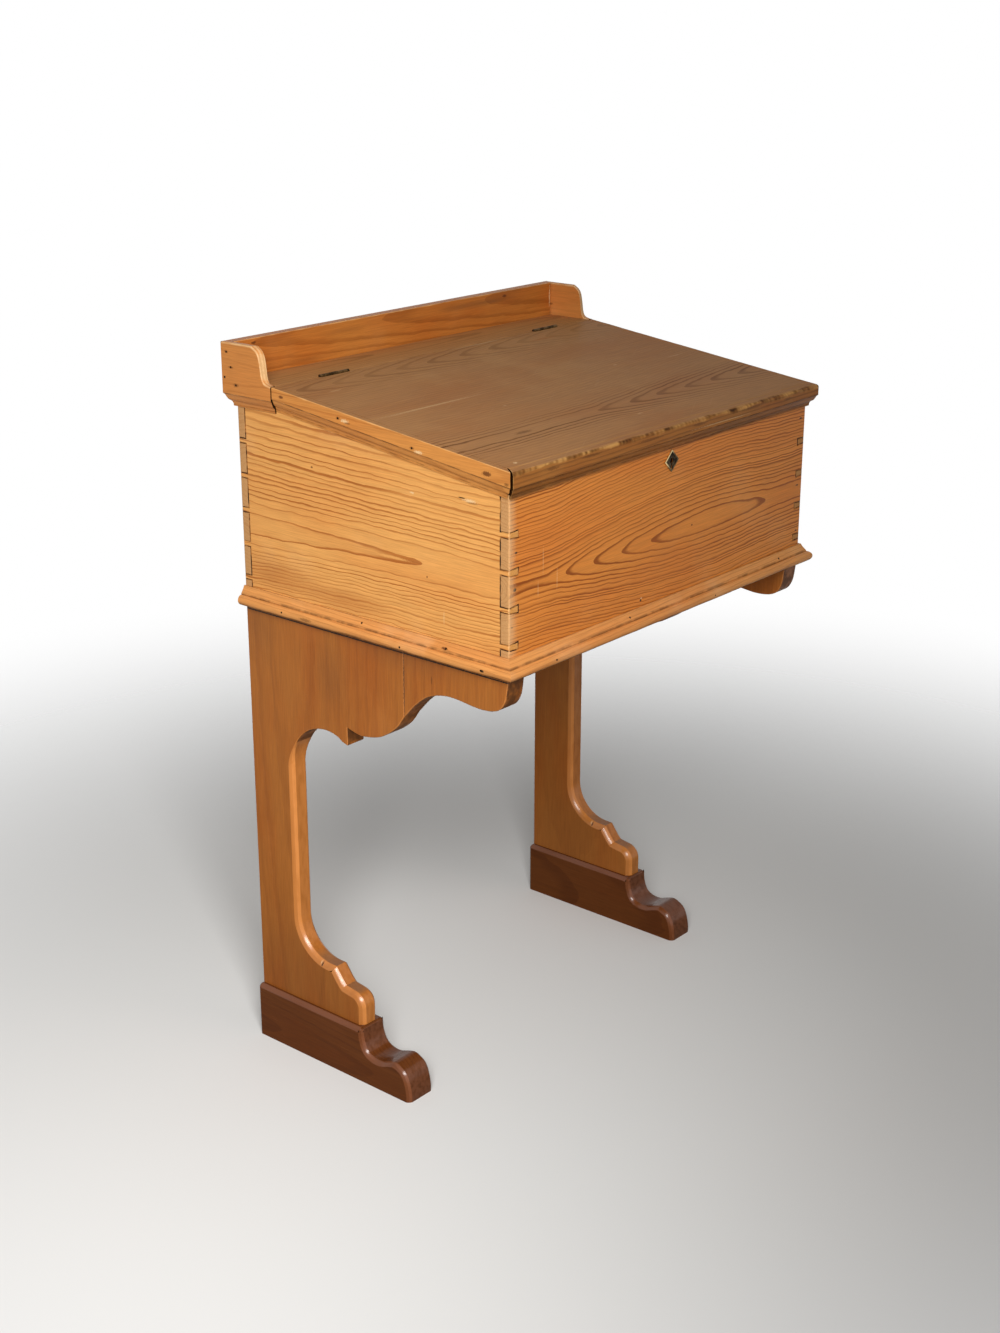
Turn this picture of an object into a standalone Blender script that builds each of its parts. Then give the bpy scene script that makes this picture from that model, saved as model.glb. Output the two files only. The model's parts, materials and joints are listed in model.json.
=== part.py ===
"""School desk: a dovetailed pine box with a hinged sloping lid and a low gallery, on two shaped board legs.

Metres, +Z up. The origin is on the floor under the middle of the desk, +X is the sitter's right and -Y is the
sitter's side.
"""

import math

import bmesh
import bpy
from mathutils import Matrix, Vector

# Fits
GAP = 0.0003
LID_CLEARANCE = 0.0005
HINGE_LINE_GAP = 0.0008
OVERCUT = 0.004

# Box
BOX_WIDTH = 0.620
BOX_DEPTH = 0.441
LEG_HEIGHT = 0.627
BOX_FRONT_HEIGHT = 0.2482
BOX_REAR_HEIGHT = 0.292
SIDE_THICKNESS = 0.016
END_THICKNESS = 0.013
BOTTOM_THICKNESS = 0.012

# Dovetails: narrow pins on the sides, broad tails on the front and back
PIN_FIRST_HEIGHT = 0.037
PIN_PITCH = 0.0445
PIN_TIP = 0.0064
PIN_ROOT = 0.0092
PIN_TOP_MARGIN = 0.020

# Base moulding
BASE_HEIGHT = 0.025
BASE_PROJECTION = 0.015
BASE_NOSE_RADIUS = 0.0068
BASE_TOP_EDGE = 0.0022
BASE_COVE_DROP = 0.0040
BASE_COVE_REACH = 0.0040
BASE_NOSE_STEP = 0.0012

# Lid, ledge and gallery
LID_DEPTH = 0.370
LID_THICKNESS = 0.020
LID_SIDE_OVERHANG = 0.0092
LID_FRONT_OVERHANG = 0.0129
LID_LIP_DROP = 0.0115
LIP_MOULD_HEIGHT = 0.0155
LIP_FILLET_HEIGHT = 0.0025
LIP_STEP = 0.0012
# Points on a lip's ogee are (share of its thickness, share of the moulding's height).
LIP_FILLET_SHARE = 0.22
LIP_HOLLOW = (0.34, 0.38)
LIP_SWELL = (0.62, 0.55)
LIP_CROWN_SHARE = 0.86
OPEN_MITRE = 0.0018
GALLERY_RISE = 0.046
GALLERY_DROP = 0.034
GALLERY_BACK_OVERHANG = 0.015
GALLERY_OGEE = ((0.0015, 0.0000), (0.0095, 0.0030), (0.0130, 0.0110), (0.0145, 0.0230), (0.0165, 0.0345),
                (0.0200, 0.0410), (0.0270, 0.0460))

# Butt hinges, with the pin on the lid's top surface
HINGE_SPACING = 0.420
HINGE_LENGTH = 0.051
LEAF_WIDTH = 0.0165
LEAF_THICKNESS = 0.0016
KNUCKLE_RADIUS = 0.0026
KNUCKLES = 5
KNUCKLE_CLEARANCE = 0.0006
HINGE_PIN_RADIUS = 0.0011
HINGE_SCREW_SPACING = 0.032
HINGE_SCREW_DROP = 0.0105

# Lock, escutcheon and the staple under the lid
KEY_DROP = 0.0285
LOCK_TOP_DROP = 0.002
LOCK_PLATE_WIDTH = 0.076
LOCK_PLATE_THICKNESS = 0.0015
LOCK_CASE_WIDTH = 0.056
LOCK_CASE_DEPTH = 0.011
LOCK_HEIGHT = 0.038
LOCK_WALL = 0.0012
BOLT_THICKNESS = 0.0024
BOLT_HEIGHT = 0.008
BOLT_LENGTH = 0.022
BOLT_SETBACK = 0.0066
BOLT_DROP = 0.0028
TONGUE_LENGTH = 0.010
TONGUE_HEIGHT = 0.0044
TALON_WIDTH = 0.005
TALON_DEPTH = 0.0025
STAPLE_OFFSET = 0.011
STAPLE_THICKNESS = 0.0025
STAPLE_WALL = 0.0012
STAPLE_PLAY = 0.0008
STRIKE_WIDTH = 0.044
STRIKE_DEPTH = 0.012
STRIKE_THICKNESS = 0.0015
KEY_PIN_RADIUS = 0.0015
KEYHOLE_RADIUS = 0.0035
KEYHOLE_SLOT = 0.003
KEYHOLE_DEPTH = 0.011
ESCUTCHEON_WIDTH = 0.029
ESCUTCHEON_HEIGHT = 0.028
ESCUTCHEON_THICKNESS = 0.0014
ESCUTCHEON_RIM = 0.0024
ESCUTCHEON_SINK = 0.0005
ESCUTCHEON_PIN_OFFSET = 0.0095

# Legs. Points on the spur and the lobe are (forward of the upright, below the box). Rises are above the foot.
LEG_THICKNESS = 0.030
UPRIGHT_WIDTH = 0.071
ARCH_RADIUS = 0.065
ARCH_DROP = 0.141
SPUR = ((0.075, 0.1420), (0.086, 0.1454), (0.094, 0.1500), (0.103, 0.1524))
NOTCH_DROP = 0.128
REAR_LOBE = ((0.118, 0.1318), (0.132, 0.1324), (0.160, 0.1255), (0.186, 0.1080))
BRACKET_LENGTH = 0.166
BRACKET_JOINT_DROP = 0.088
# Points on the bracket are (behind the box front, below the box).
BRACKET_CURVE = ((0.147, 0.0680), (0.124, 0.0520), (0.092, 0.0450), (0.045, 0.0487), (0.018, 0.0440),
                 (0.006, 0.0300), (0.0018, 0.0080))
LOWER_ARCH_RADIUS = 0.055
LOWER_ARCH_RISE = 0.067
LOWER_SHELF = 0.064
STEP_RUN = 0.018
STEP_FALL = 0.0225
STEP_HOLLOW = (2 / 3, 0.72)
LEG_FOOT_REACH = 0.1165
LEG_NOSE_RADIUS = 0.013
LEG_NOSE_RISE = 0.029
UPRIGHT_CHAMFER = 0.005
BRACKET_CHAMFER = 0.002

# Feet. Toe points are (behind the toe, above the floor).
FOOT_WIDTH = 0.047
FOOT_HEIGHT = 0.078
FOOT_LENGTH = 0.2835
FOOT_HEEL = 0.004
TOE_CURVE = ((0.0000, 0.0110), (0.0035, 0.0277), (0.0095, 0.0395), (0.0180, 0.0455), (0.0280, 0.0490),
             (0.0385, 0.0465), (0.0530, 0.0415), (0.0670, 0.0420), (0.0780, 0.0480), (0.0840, 0.0620))
TOE_TOP = 0.0855
FOOT_CHAMFER = 0.004
TENON_THICKNESS = 0.010
TENON_DEPTH = 0.030
TENON_SHOULDER = 0.014

# Fasteners
DOWEL_RADIUS = 0.004
DOWEL_LENGTH = 0.050
DOWEL_DROPS = (0.022, 0.055)
SMALL_SCREW = {"head": 0.0027, "shank": 0.0013, "length": 0.013}
STRIKE_SCREW = {"head": 0.0026, "shank": 0.0012, "length": 0.012}
LOCK_SCREW = {"head": 0.0030, "shank": 0.0014, "length": 0.010}
LEG_SCREW = {"head": 0.0044, "shank": 0.0022, "length": 0.042}
PIN_NAIL = {"head": 0.0013, "shank": 0.0007, "length": 0.009}
LEG_SCREW_FRONT = 0.080
LEG_SCREW_REAR = 0.040
STRIKE_SCREW_OFFSET = 0.016
LOCK_SCREW_OFFSET = 0.033
SCREW_SLOT_WIDTH = 0.0006
SCREW_SLOT_DEPTH = 0.0006
SIDES_ROUND = 10
SIDES_SMALL = 8
SIDES_KNUCKLE = 16
CURVE_STEPS = 3

# Places worked out from the sizes above
HALF = BOX_WIDTH / 2
FRONT = -BOX_DEPTH / 2
BACK = BOX_DEPTH / 2
HINGE_Y = FRONT + LID_DEPTH
HINGE_Z = LEG_HEIGHT + BOX_REAR_HEIGHT
SLOPE = (BOX_REAR_HEIGHT - BOX_FRONT_HEIGHT) / LID_DEPTH
CARCASS_BASE = LEG_HEIGHT + BOTTOM_THICKNESS
LEG_MIDDLE = HALF - LEG_THICKNESS / 2
UPRIGHT_FRONT = BACK - UPRIGHT_WIDTH
BRACKET_JOINT = FRONT + BRACKET_LENGTH
FRONT_INSIDE = FRONT + END_THICKNESS
LID_EDGE_HEIGHT = LID_THICKNESS + LID_LIP_DROP
LOWER_ARCH_HEIGHT = FOOT_HEIGHT + LOWER_ARCH_RISE
LEG_NOSE_HEIGHT = FOOT_HEIGHT + LEG_NOSE_RISE
FRONT_TOP = LEG_HEIGHT + BOX_FRONT_HEIGHT - LID_THICKNESS
KEY_Z = FRONT_TOP - KEY_DROP
LOCK_TOP = FRONT_TOP - LOCK_TOP_DROP
LOCK_BACK = FRONT_INSIDE + 2 * GAP + LOCK_PLATE_THICKNESS + LOCK_CASE_DEPTH
BOLT_Y = FRONT_INSIDE + BOLT_SETBACK + BOLT_THICKNESS / 2
BOLT_Z = LOCK_TOP - LOCK_WALL - BOLT_DROP - BOLT_HEIGHT / 2

PINE = ("pine", (0.56, 0.27, 0.09), 0.45, 0.0)
PINE_PALE = ("pine_pale", (0.66, 0.38, 0.16), 0.50, 0.0)
PINE_LID = ("pine_lid", (0.20, 0.11, 0.06), 0.38, 0.0)
LEG_WOOD = ("leg_wood", (0.40, 0.17, 0.055), 0.33, 0.0)
FOOT_WOOD = ("foot_wood", (0.12, 0.035, 0.018), 0.25, 0.0)
BRASS = ("brass", (0.55, 0.38, 0.14), 0.35, 1.0)
STEEL = ("steel", (0.20, 0.18, 0.16), 0.45, 1.0)


def clear_scene():
    for old in list(bpy.data.objects):
        bpy.data.objects.remove(old, do_unlink=True)


def new_collection(name):
    made = bpy.data.collections.new(name)
    bpy.context.scene.collection.children.link(made)
    return made


clear_scene()
PARTS = new_collection("school_desk")
CUTTERS = new_collection("cutters")


def material_for(finish):
    """A Principled material, made once for each finish."""
    name, colour, roughness, metallic = finish
    made = bpy.data.materials.get(name)
    if made is None:
        made = bpy.data.materials.new(name)
        made.use_nodes = True
        shader = made.node_tree.nodes["Principled BSDF"]
        shader.inputs["Base Color"].default_value = (*colour, 1.0)
        shader.inputs["Roughness"].default_value = roughness
        shader.inputs["Metallic"].default_value = metallic
    return made


def lid_top(y):
    """Height of the lid's top surface, carried on past its edges."""
    return HINGE_Z + SLOPE * (y - HINGE_Y)


def tidy(mesh):
    """Weld a mesh's seams and face it outwards."""
    work = bmesh.new()
    work.from_mesh(mesh)
    bmesh.ops.remove_doubles(work, verts=work.verts, dist=1e-6)
    bmesh.ops.recalc_face_normals(work, faces=work.faces)
    work.to_mesh(mesh)
    work.free()
    return mesh


def block(low, high):
    """A box mesh between two corners."""
    work = bmesh.new()
    bmesh.ops.create_cube(work, size=1.0)
    size = Vector(high) - Vector(low)
    middle = (Vector(high) + Vector(low)) / 2
    place = Matrix.Translation(middle) @ Matrix.Diagonal((*size, 1.0))
    bmesh.ops.transform(work, matrix=place, verts=work.verts)
    mesh = bpy.data.meshes.new("block")
    work.to_mesh(mesh)
    work.free()
    return mesh


def prism(outlines, low, high):
    """Flat outlines filled and given a thickness from low to high along local Z."""
    curve = bpy.data.curves.new("outline", "CURVE")
    curve.dimensions = "2D"
    curve.fill_mode = "BOTH"
    curve.extrude = (high - low) / 2
    for outline in outlines:
        spline = curve.splines.new("POLY")
        spline.points.add(len(outline) - 1)
        spline.use_cyclic_u = True
        for point, (x, y) in zip(spline.points, outline):
            point.co = (x, y, 0.0, 1.0)
    holder = bpy.data.objects.new("outline", curve)
    CUTTERS.objects.link(holder)
    depsgraph = bpy.context.evaluated_depsgraph_get()
    mesh = bpy.data.meshes.new_from_object(holder.evaluated_get(depsgraph))
    bpy.data.objects.remove(holder, do_unlink=True)
    mesh.transform(Matrix.Translation((0.0, 0.0, (low + high) / 2)))
    return tidy(mesh)


def across_x(outlines, low, high):
    """Outlines drawn in (y, z), thick along X."""
    mesh = prism(outlines, low, high)
    mesh.transform(Matrix(((0, 0, 1, 0), (1, 0, 0, 0), (0, 1, 0, 0), (0, 0, 0, 1))))
    return mesh


def across_y(outlines, low, high):
    """Outlines drawn in (x, z), thick along Y."""
    mesh = prism(outlines, -high, -low)
    mesh.transform(Matrix(((1, 0, 0, 0), (0, 0, -1, 0), (0, 1, 0, 0), (0, 0, 0, 1))))
    return mesh


def turned(profile, sides):
    """A closed (radius, height) profile turned about Z, given from the top of the axis to its foot."""
    mesh = bpy.data.meshes.new("profile")
    points = [(radius, 0.0, height) for radius, height in profile]
    mesh.from_pydata(points, [(i, i + 1) for i in range(len(points) - 1)], [])
    holder = bpy.data.objects.new("profile", mesh)
    CUTTERS.objects.link(holder)
    screw = holder.modifiers.new("turn", "SCREW")
    screw.steps = sides
    screw.render_steps = sides
    screw.use_merge_vertices = True
    screw.merge_threshold = 1e-6
    depsgraph = bpy.context.evaluated_depsgraph_get()
    made = bpy.data.meshes.new_from_object(holder.evaluated_get(depsgraph))
    bpy.data.objects.remove(holder, do_unlink=True)
    return tidy(made)


def rod(radius, start, end, sides=SIDES_ROUND):
    """A round bar between two points."""
    start = Vector(start)
    run = Vector(end) - start
    work = bmesh.new()
    bmesh.ops.create_cone(work, cap_ends=True, segments=sides, radius1=radius, radius2=radius,
                          depth=run.length)
    turn = Vector((0, 0, 1)).rotation_difference(run).to_matrix().to_4x4()
    bmesh.ops.transform(work, matrix=Matrix.Translation(start + run / 2) @ turn, verts=work.verts)
    mesh = bpy.data.meshes.new("rod")
    work.to_mesh(mesh)
    work.free()
    return mesh


def arc(centre, radius, first, last, steps=6):
    """Points round a centre, angles in degrees."""
    angles = [math.radians(first + (last - first) * i / steps) for i in range(steps + 1)]
    return [(centre[0] + radius * math.cos(a), centre[1] + radius * math.sin(a)) for a in angles]


def flowing(points, steps=CURVE_STEPS):
    """A smooth curve through points, ends included."""
    ends = [points[0], *points, points[-1]]
    run = []
    for before, start, end, after in zip(ends, ends[1:], ends[2:], ends[3:]):
        for step in range(steps):
            t = step / steps
            run.append(tuple(
                0.5 * (2 * b + (c - a) * t + (2 * a - 5 * b + 4 * c - d) * t ** 2
                       + (3 * b - a - 3 * c + d) * t ** 3)
                for a, b, c, d in zip(before, start, end, after)))
    return [*run, tuple(points[-1])]


def piece(name, mesh, finish, origin=(0.0, 0.0, 0.0), parent=None):
    """A named part of the desk. Its mesh is given in the desk's frame and its origin is moved to a point."""
    mesh.transform(Matrix.Translation(-Vector(origin)))
    mesh.name = name
    made = bpy.data.objects.new(name, mesh)
    PARTS.objects.link(made)
    made.data.materials.append(material_for(finish))
    made.location = Vector(origin) - (parent.location if parent else Vector((0.0, 0.0, 0.0)))
    made.parent = parent
    return made


def cut(target, mesh, operation="DIFFERENCE"):
    """Take a mesh given in the desk's frame out of a part, or add it with UNION."""
    cutter = bpy.data.objects.new(target.name + "_" + operation.lower(), mesh)
    CUTTERS.objects.link(cutter)
    cutter.hide_render = True
    cutter.display_type = "WIRE"
    boolean = target.modifiers.new("shape", "BOOLEAN")
    boolean.operation = operation
    boolean.object = cutter
    return cutter


def join(target, mesh):
    return cut(target, mesh, "UNION")


def bevel(target, width, wanted):
    """Chamfer the sharp edges whose two ends both pass a test on their place."""
    work = bmesh.new()
    work.from_mesh(target.data)
    bmesh.ops.dissolve_limit(work, angle_limit=math.radians(1), verts=work.verts, edges=work.edges)
    weights = work.edges.layers.float.new("bevel_weight_edge")
    for edge in work.edges:
        sharp = len(edge.link_faces) == 2 and edge.calc_face_angle() > math.radians(60)
        if sharp and all(wanted(vert.co + target.location) for vert in edge.verts):
            edge[weights] = 1.0
    work.to_mesh(target.data)
    work.free()
    modifier = target.modifiers.new("chamfer", "BEVEL")
    modifier.width = width
    modifier.segments = 1
    modifier.limit_method = "WEIGHT"
    modifier.use_clamp_overlap = False


def driven(point, inwards):
    """Where a fastener modelled pointing down goes when it is driven in at a point."""
    turn = Vector((0, 0, -1)).rotation_difference(Vector(inwards)).to_matrix().to_4x4()
    return Matrix.Translation(point) @ turn


def screw_mesh(size, grow, point, inwards):
    """A countersunk wood screw whose head lies flush at a point; grown, it is the hole for one."""
    head = size["head"] + grow
    shank = size["shank"] + grow
    cone = head - shank
    top = OVERCUT if grow else 0.0
    length = size["length"] + grow
    profile = [(0.0, top), (head, top)]
    if grow:
        profile.append((head, 0.0))
    profile += [(shank, -cone), (shank, -length + 2 * shank), (0.0, -length)]
    mesh = turned(profile, SIDES_SMALL)
    mesh.transform(driven(point, inwards))
    return mesh


def fasten(name, size, point, inwards, through, parent=None):
    """A slotted screw or nail at a point, and its hole in each piece that it goes through."""
    for held in through:
        cut(held, screw_mesh(size, GAP, point, inwards))
    made = piece(name, screw_mesh(size, 0.0, point, inwards), STEEL, point, parent)
    if size is not PIN_NAIL:
        reach = 2 * size["head"]
        half = SCREW_SLOT_WIDTH / 2
        slot = block((-reach, -half, -SCREW_SLOT_DEPTH), (reach, half, OVERCUT))
        slot.transform(driven(point, inwards))
        cut(made, slot)
    return made


def pin_levels(top):
    """Heights of the dovetail pins' middles on a corner whose boards end at a height."""
    room = top - PIN_TOP_MARGIN - LEG_HEIGHT - PIN_FIRST_HEIGHT
    return [LEG_HEIGHT + PIN_FIRST_HEIGHT + PIN_PITCH * i for i in range(int(room / PIN_PITCH) + 1)]


def pin_half(x, grow):
    """Half a pin's height at a distance from the desk's middle, made larger all round by grow."""
    along = (x - HALF + SIDE_THICKNESS) / SIDE_THICKNESS
    return (PIN_ROOT + (PIN_TIP - PIN_ROOT) * along) / 2 + grow


def pin_outlines(side, levels):
    """Sockets for the pins in the front or back board."""
    inner = HALF - SIDE_THICKNESS - GAP
    outer = HALF + OVERCUT
    grow = GAP / 2
    root = pin_half(inner, grow)
    tip = pin_half(outer, grow)
    return [[(side * inner, z - root), (side * outer, z - tip), (side * outer, z + tip),
             (side * inner, z + root)] for z in levels]


def tail_outlines(side, levels, top):
    """Room for the tails between the pins of a side board."""
    inner = HALF - SIDE_THICKNESS - OVERCUT
    outer = HALF + OVERCUT
    shrink = -GAP / 2
    outlines = []
    for low, high in zip([None, *levels], [*levels, None]):
        def edge(level, x, way):
            if level is None:
                return top + OVERCUT if way > 0 else CARCASS_BASE - OVERCUT
            return level - way * pin_half(x, shrink)
        outlines.append([(side * inner, edge(low, inner, -1)), (side * outer, edge(low, outer, -1)),
                         (side * outer, edge(high, outer, 1)), (side * inner, edge(high, inner, 1))])
    return outlines


def make_carcass():
    """Front, back and sides dovetailed at the corners, with their top edges under the lid and the ledge."""
    rear_top = HINGE_Z - LID_THICKNESS - GAP
    base = CARCASS_BASE + GAP

    def under_lid(y):
        return lid_top(y) - LID_THICKNESS - GAP

    front = piece("box_front", across_x([[
        (FRONT, base), (FRONT_INSIDE, base), (FRONT_INSIDE, under_lid(FRONT_INSIDE)),
        (FRONT, under_lid(FRONT))]], -HALF, HALF), PINE)
    back = piece("box_back", block((-HALF, BACK - END_THICKNESS, base), (HALF, BACK, rear_top)), PINE)
    front_levels = pin_levels(FRONT_TOP)
    back_levels = pin_levels(rear_top)
    outline = [(FRONT, base), (BACK, base), (BACK, rear_top), (HINGE_Y, rear_top), (FRONT, under_lid(FRONT))]
    for side, word in ((-1, "left"), (1, "right")):
        low, high = sorted((side * HALF, side * (HALF - SIDE_THICKNESS)))
        board = piece("box_side_" + word, across_x([outline], low, high), PINE)
        cut(front, across_y(pin_outlines(side, front_levels), FRONT - OVERCUT, FRONT_INSIDE + OVERCUT))
        cut(back, across_y(pin_outlines(side, back_levels), BACK - END_THICKNESS - OVERCUT, BACK + OVERCUT))
        cut(board, across_y(tail_outlines(side, front_levels, FRONT_TOP + END_THICKNESS),
                            FRONT - OVERCUT, FRONT_INSIDE + GAP))
        cut(board, across_y(tail_outlines(side, back_levels, rear_top),
                            BACK - END_THICKNESS - GAP, BACK + OVERCUT))
    return front


def make_bottom():
    """Two boards side by side under the carcass, hidden at the edge by the base moulding."""
    low, high = LEG_HEIGHT, CARCASS_BASE
    front = piece("bottom_board_front", block((-HALF, FRONT, low), (HALF, -GAP / 2, high)), PINE)
    rear = piece("bottom_board_rear", block((-HALF, GAP / 2, low), (HALF, BACK, high)), PINE)
    return front, rear


def base_profile():
    """Section of the base moulding as (out, height): a cove above a round nose, flat against the box."""
    nose = BASE_NOSE_RADIUS
    centre = (BASE_PROJECTION - nose, LEG_HEIGHT + nose + GAP)
    shoulder = centre[1] + nose
    top = LEG_HEIGHT + BASE_HEIGHT
    cove = flowing([(GAP + BASE_TOP_EDGE, top), (GAP + BASE_COVE_REACH, top - BASE_COVE_DROP),
                    (centre[0], shoulder + BASE_NOSE_STEP)])
    return [(GAP, LEG_HEIGHT + GAP), *arc(centre, nose, -90, 90, 6), *cove[::-1], (GAP, top)]


def swept(profile, start, end, start_mitre, end_mitre):
    """An (out, height) section along +X on the face looking to -Y; each end grows by its mitre times out."""
    mesh = prism([profile], -1.0, 1.0)
    for vertex in mesh.vertices:
        out, height, way = vertex.co
        along = end + end_mitre * out if way > 0 else start - start_mitre * out
        vertex.co = (along, -out, height)
    return tidy(mesh)


def make_base_moulding():
    """Moulding round the foot of the box, mitred at the front corners and square at the back."""
    front = swept(base_profile(), -HALF + GAP / 2, HALF - GAP / 2, 1.0, 1.0)
    front.transform(Matrix.Translation((0.0, FRONT, 0.0)))
    piece("base_moulding_front", front, PINE_PALE)
    right = swept(base_profile(), FRONT + GAP / 2, BACK, 1.0, 0.0)
    right.transform(Matrix.Translation((HALF, 0.0, 0.0)) @ Matrix.Rotation(math.pi / 2, 4, "Z"))
    piece("base_moulding_right", right, PINE_PALE)
    left = swept(base_profile(), -BACK, -FRONT - GAP / 2, 0.0, 1.0)
    left.transform(Matrix.Translation((-HALF, 0.0, 0.0)) @ Matrix.Rotation(-math.pi / 2, 4, "Z"))
    piece("base_moulding_left", left, PINE_PALE)


def lip_profile(height):
    """Section of a lip as (share of its thickness, depth below its top): plain, then an ogee and a fillet."""
    foot = -height
    curl_top = foot + LIP_MOULD_HEIGHT - LIP_STEP
    bends = [(share, foot + up * LIP_MOULD_HEIGHT) for share, up in (LIP_HOLLOW, LIP_SWELL)]
    curl = flowing([(LIP_FILLET_SHARE, foot + LIP_FILLET_HEIGHT), *bends, (LIP_CROWN_SHARE, curl_top)])
    face_foot = foot + LIP_MOULD_HEIGHT
    return [(0.0, 0.0), (0.0, foot), (LIP_FILLET_SHARE, foot), *curl, (1.0, face_foot), (1.0, 0.0)]


def lip(height, thickness, start, end, start_turn, end_turn, inner):
    """A lip along +X looking to -Y. A turn is the thickness of the lip mitred to it, or None where square."""
    mesh = prism([lip_profile(height)], -1.0, 1.0)
    for vertex in mesh.vertices:
        share, depth, way = vertex.co
        turn = end_turn if way > 0 else start_turn
        reach = 0.0 if turn is None else inner + (turn - inner) * share
        along = end + reach if way > 0 else start - reach
        vertex.co = (along, -inner - (thickness - inner) * share, depth)
    return tidy(mesh)


def sloped(mesh):
    """Give a mesh modelled under a level top the lid's slope and height."""
    for vertex in mesh.vertices:
        vertex.co.z += lid_top(vertex.co.y)
    return mesh


def make_gallery():
    """The fixed ledge behind the lid and the low boards round it, lipped over the outside of the box."""
    hinge_half = HINGE_LINE_GAP / 2
    ledge = piece("hinge_ledge", block((-HALF, HINGE_Y + hinge_half, HINGE_Z - LID_THICKNESS),
                                       (HALF, BACK, HINGE_Z)), PINE)
    height = GALLERY_RISE + GALLERY_DROP
    rise = Matrix.Translation((0.0, 0.0, HINGE_Z + GALLERY_RISE))
    back = lip(height, GALLERY_BACK_OVERHANG, -HALF + GAP / 2, HALF - GAP / 2, LID_SIDE_OVERHANG,
               LID_SIDE_OVERHANG, GAP)
    back.transform(rise @ Matrix.Translation((0.0, BACK, 0.0)) @ Matrix.Rotation(math.pi, 4, "Z"))
    piece("gallery_back", back, PINE)
    start = HINGE_Y + hinge_half
    ogee = flowing([(start + forward, HINGE_Z + up) for forward, up in GALLERY_OGEE], 4)
    past = HINGE_Z + GALLERY_RISE + OVERCUT
    scoop = [(start - OVERCUT, HINGE_Z - GAP), *ogee, (ogee[-1][0], past), (start - OVERCUT, past)]
    for side, word in ((-1, "left"), (1, "right")):
        if side > 0:
            end = lip(height, LID_SIDE_OVERHANG, start, BACK - GAP / 2, None, GALLERY_BACK_OVERHANG, GAP)
        else:
            end = lip(height, LID_SIDE_OVERHANG, -BACK + GAP / 2, -start, GALLERY_BACK_OVERHANG, None, GAP)
        turn = Matrix.Rotation(side * math.pi / 2, 4, "Z")
        end.transform(rise @ Matrix.Translation((side * HALF, 0.0, 0.0)) @ turn)
        board = piece("gallery_end_" + word, end, PINE)
        low, high = sorted((side * (HALF - OVERCUT), side * (HALF + LID_SIDE_OVERHANG + OVERCUT)))
        cut(board, across_x([scoop], low, high))
    return ledge


def make_lid(axis):
    """The sloping board and the three lips round it, mitred at the front and hanging outside the box."""
    rear = HINGE_Y - HINGE_LINE_GAP / 2
    origin = axis.location
    clear = LID_CLEARANCE
    edge = clear - GAP
    board = sloped(block((-HALF - edge, FRONT - edge, -LID_THICKNESS), (HALF + edge, rear, 0.0)))
    lid = piece("lid_board", board, PINE_LID, origin, axis)
    front = lip(LID_EDGE_HEIGHT, LID_FRONT_OVERHANG, -HALF + GAP / 2, HALF - GAP / 2, LID_SIDE_OVERHANG,
                LID_SIDE_OVERHANG, clear)
    front.transform(Matrix.Translation((0.0, FRONT, 0.0)))
    piece("lid_edge_front", sloped(front), PINE_LID, origin, axis)
    right = lip(LID_EDGE_HEIGHT, LID_SIDE_OVERHANG, FRONT + GAP / 2, rear, LID_FRONT_OVERHANG, None,
                clear)
    right.transform(Matrix.Translation((HALF, 0.0, 0.0)) @ Matrix.Rotation(math.pi / 2, 4, "Z"))
    piece("lid_edge_right", sloped(right), PINE, origin, axis)
    left = lip(LID_EDGE_HEIGHT, LID_SIDE_OVERHANG, -rear, -FRONT - OPEN_MITRE, None, LID_FRONT_OVERHANG,
               clear)
    left.transform(Matrix.Translation((-HALF, 0.0, 0.0)) @ Matrix.Rotation(-math.pi / 2, 4, "Z"))
    piece("lid_edge_left", sloped(left), PINE, origin, axis)
    return lid


def knuckle_spans():
    """Start and end of each knuckle along the hinge, from its middle."""
    pitch = HINGE_LENGTH / KNUCKLES
    return [(-HINGE_LENGTH / 2 + pitch * i + GAP / 2, -HINGE_LENGTH / 2 + pitch * (i + 1) - GAP / 2)
            for i in range(KNUCKLES)]


def make_leaf(name, middle, way, spans, host, origin, parent):
    """One leaf of a hinge, let into the host's edge on its side of the pin, with its own knuckles."""
    face = HINGE_Y + way * HINGE_LINE_GAP / 2
    sunk = face + way * LEAF_THICKNESS
    near, far = sorted((face, sunk))
    foot = HINGE_Z - LEAF_WIDTH
    shoulder = HINGE_Z - KNUCKLE_RADIUS - KNUCKLE_CLEARANCE
    low = middle - HINGE_LENGTH / 2
    high = middle + HINGE_LENGTH / 2
    leaf = piece(name, block((low, near, foot), (high, far, shoulder)), BRASS, origin, parent)
    for start, end in spans:
        join(leaf, block((middle + start, near, shoulder - KNUCKLE_RADIUS), (middle + end, far, HINGE_Z)))
        barrel = (middle + start, HINGE_Y, HINGE_Z), (middle + end, HINGE_Y, HINGE_Z)
        join(leaf, rod(KNUCKLE_RADIUS, *barrel, SIDES_KNUCKLE))
    reach = (low - OVERCUT, HINGE_Y, HINGE_Z), (high + OVERCUT, HINGE_Y, HINGE_Z)
    cut(leaf, rod(HINGE_PIN_RADIUS + GAP, *reach))
    room = KNUCKLE_RADIUS + KNUCKLE_CLEARANCE
    cut(host, rod(room, (low - GAP, HINGE_Y, HINGE_Z), (high + GAP, HINGE_Y, HINGE_Z), SIDES_KNUCKLE))
    back = sunk + way * GAP
    near, far = sorted((HINGE_Y, back))
    cut(host, block((low - GAP, near, foot - GAP), (high + GAP, far, HINGE_Z + OVERCUT)))
    for across, word in ((-1, "a"), (1, "b")):
        point = (middle + across * HINGE_SCREW_SPACING / 2, face, HINGE_Z - HINGE_SCREW_DROP)
        fasten(name + "_screw_" + word, SMALL_SCREW, point, (0, way, 0), (leaf, host), parent)


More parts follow.
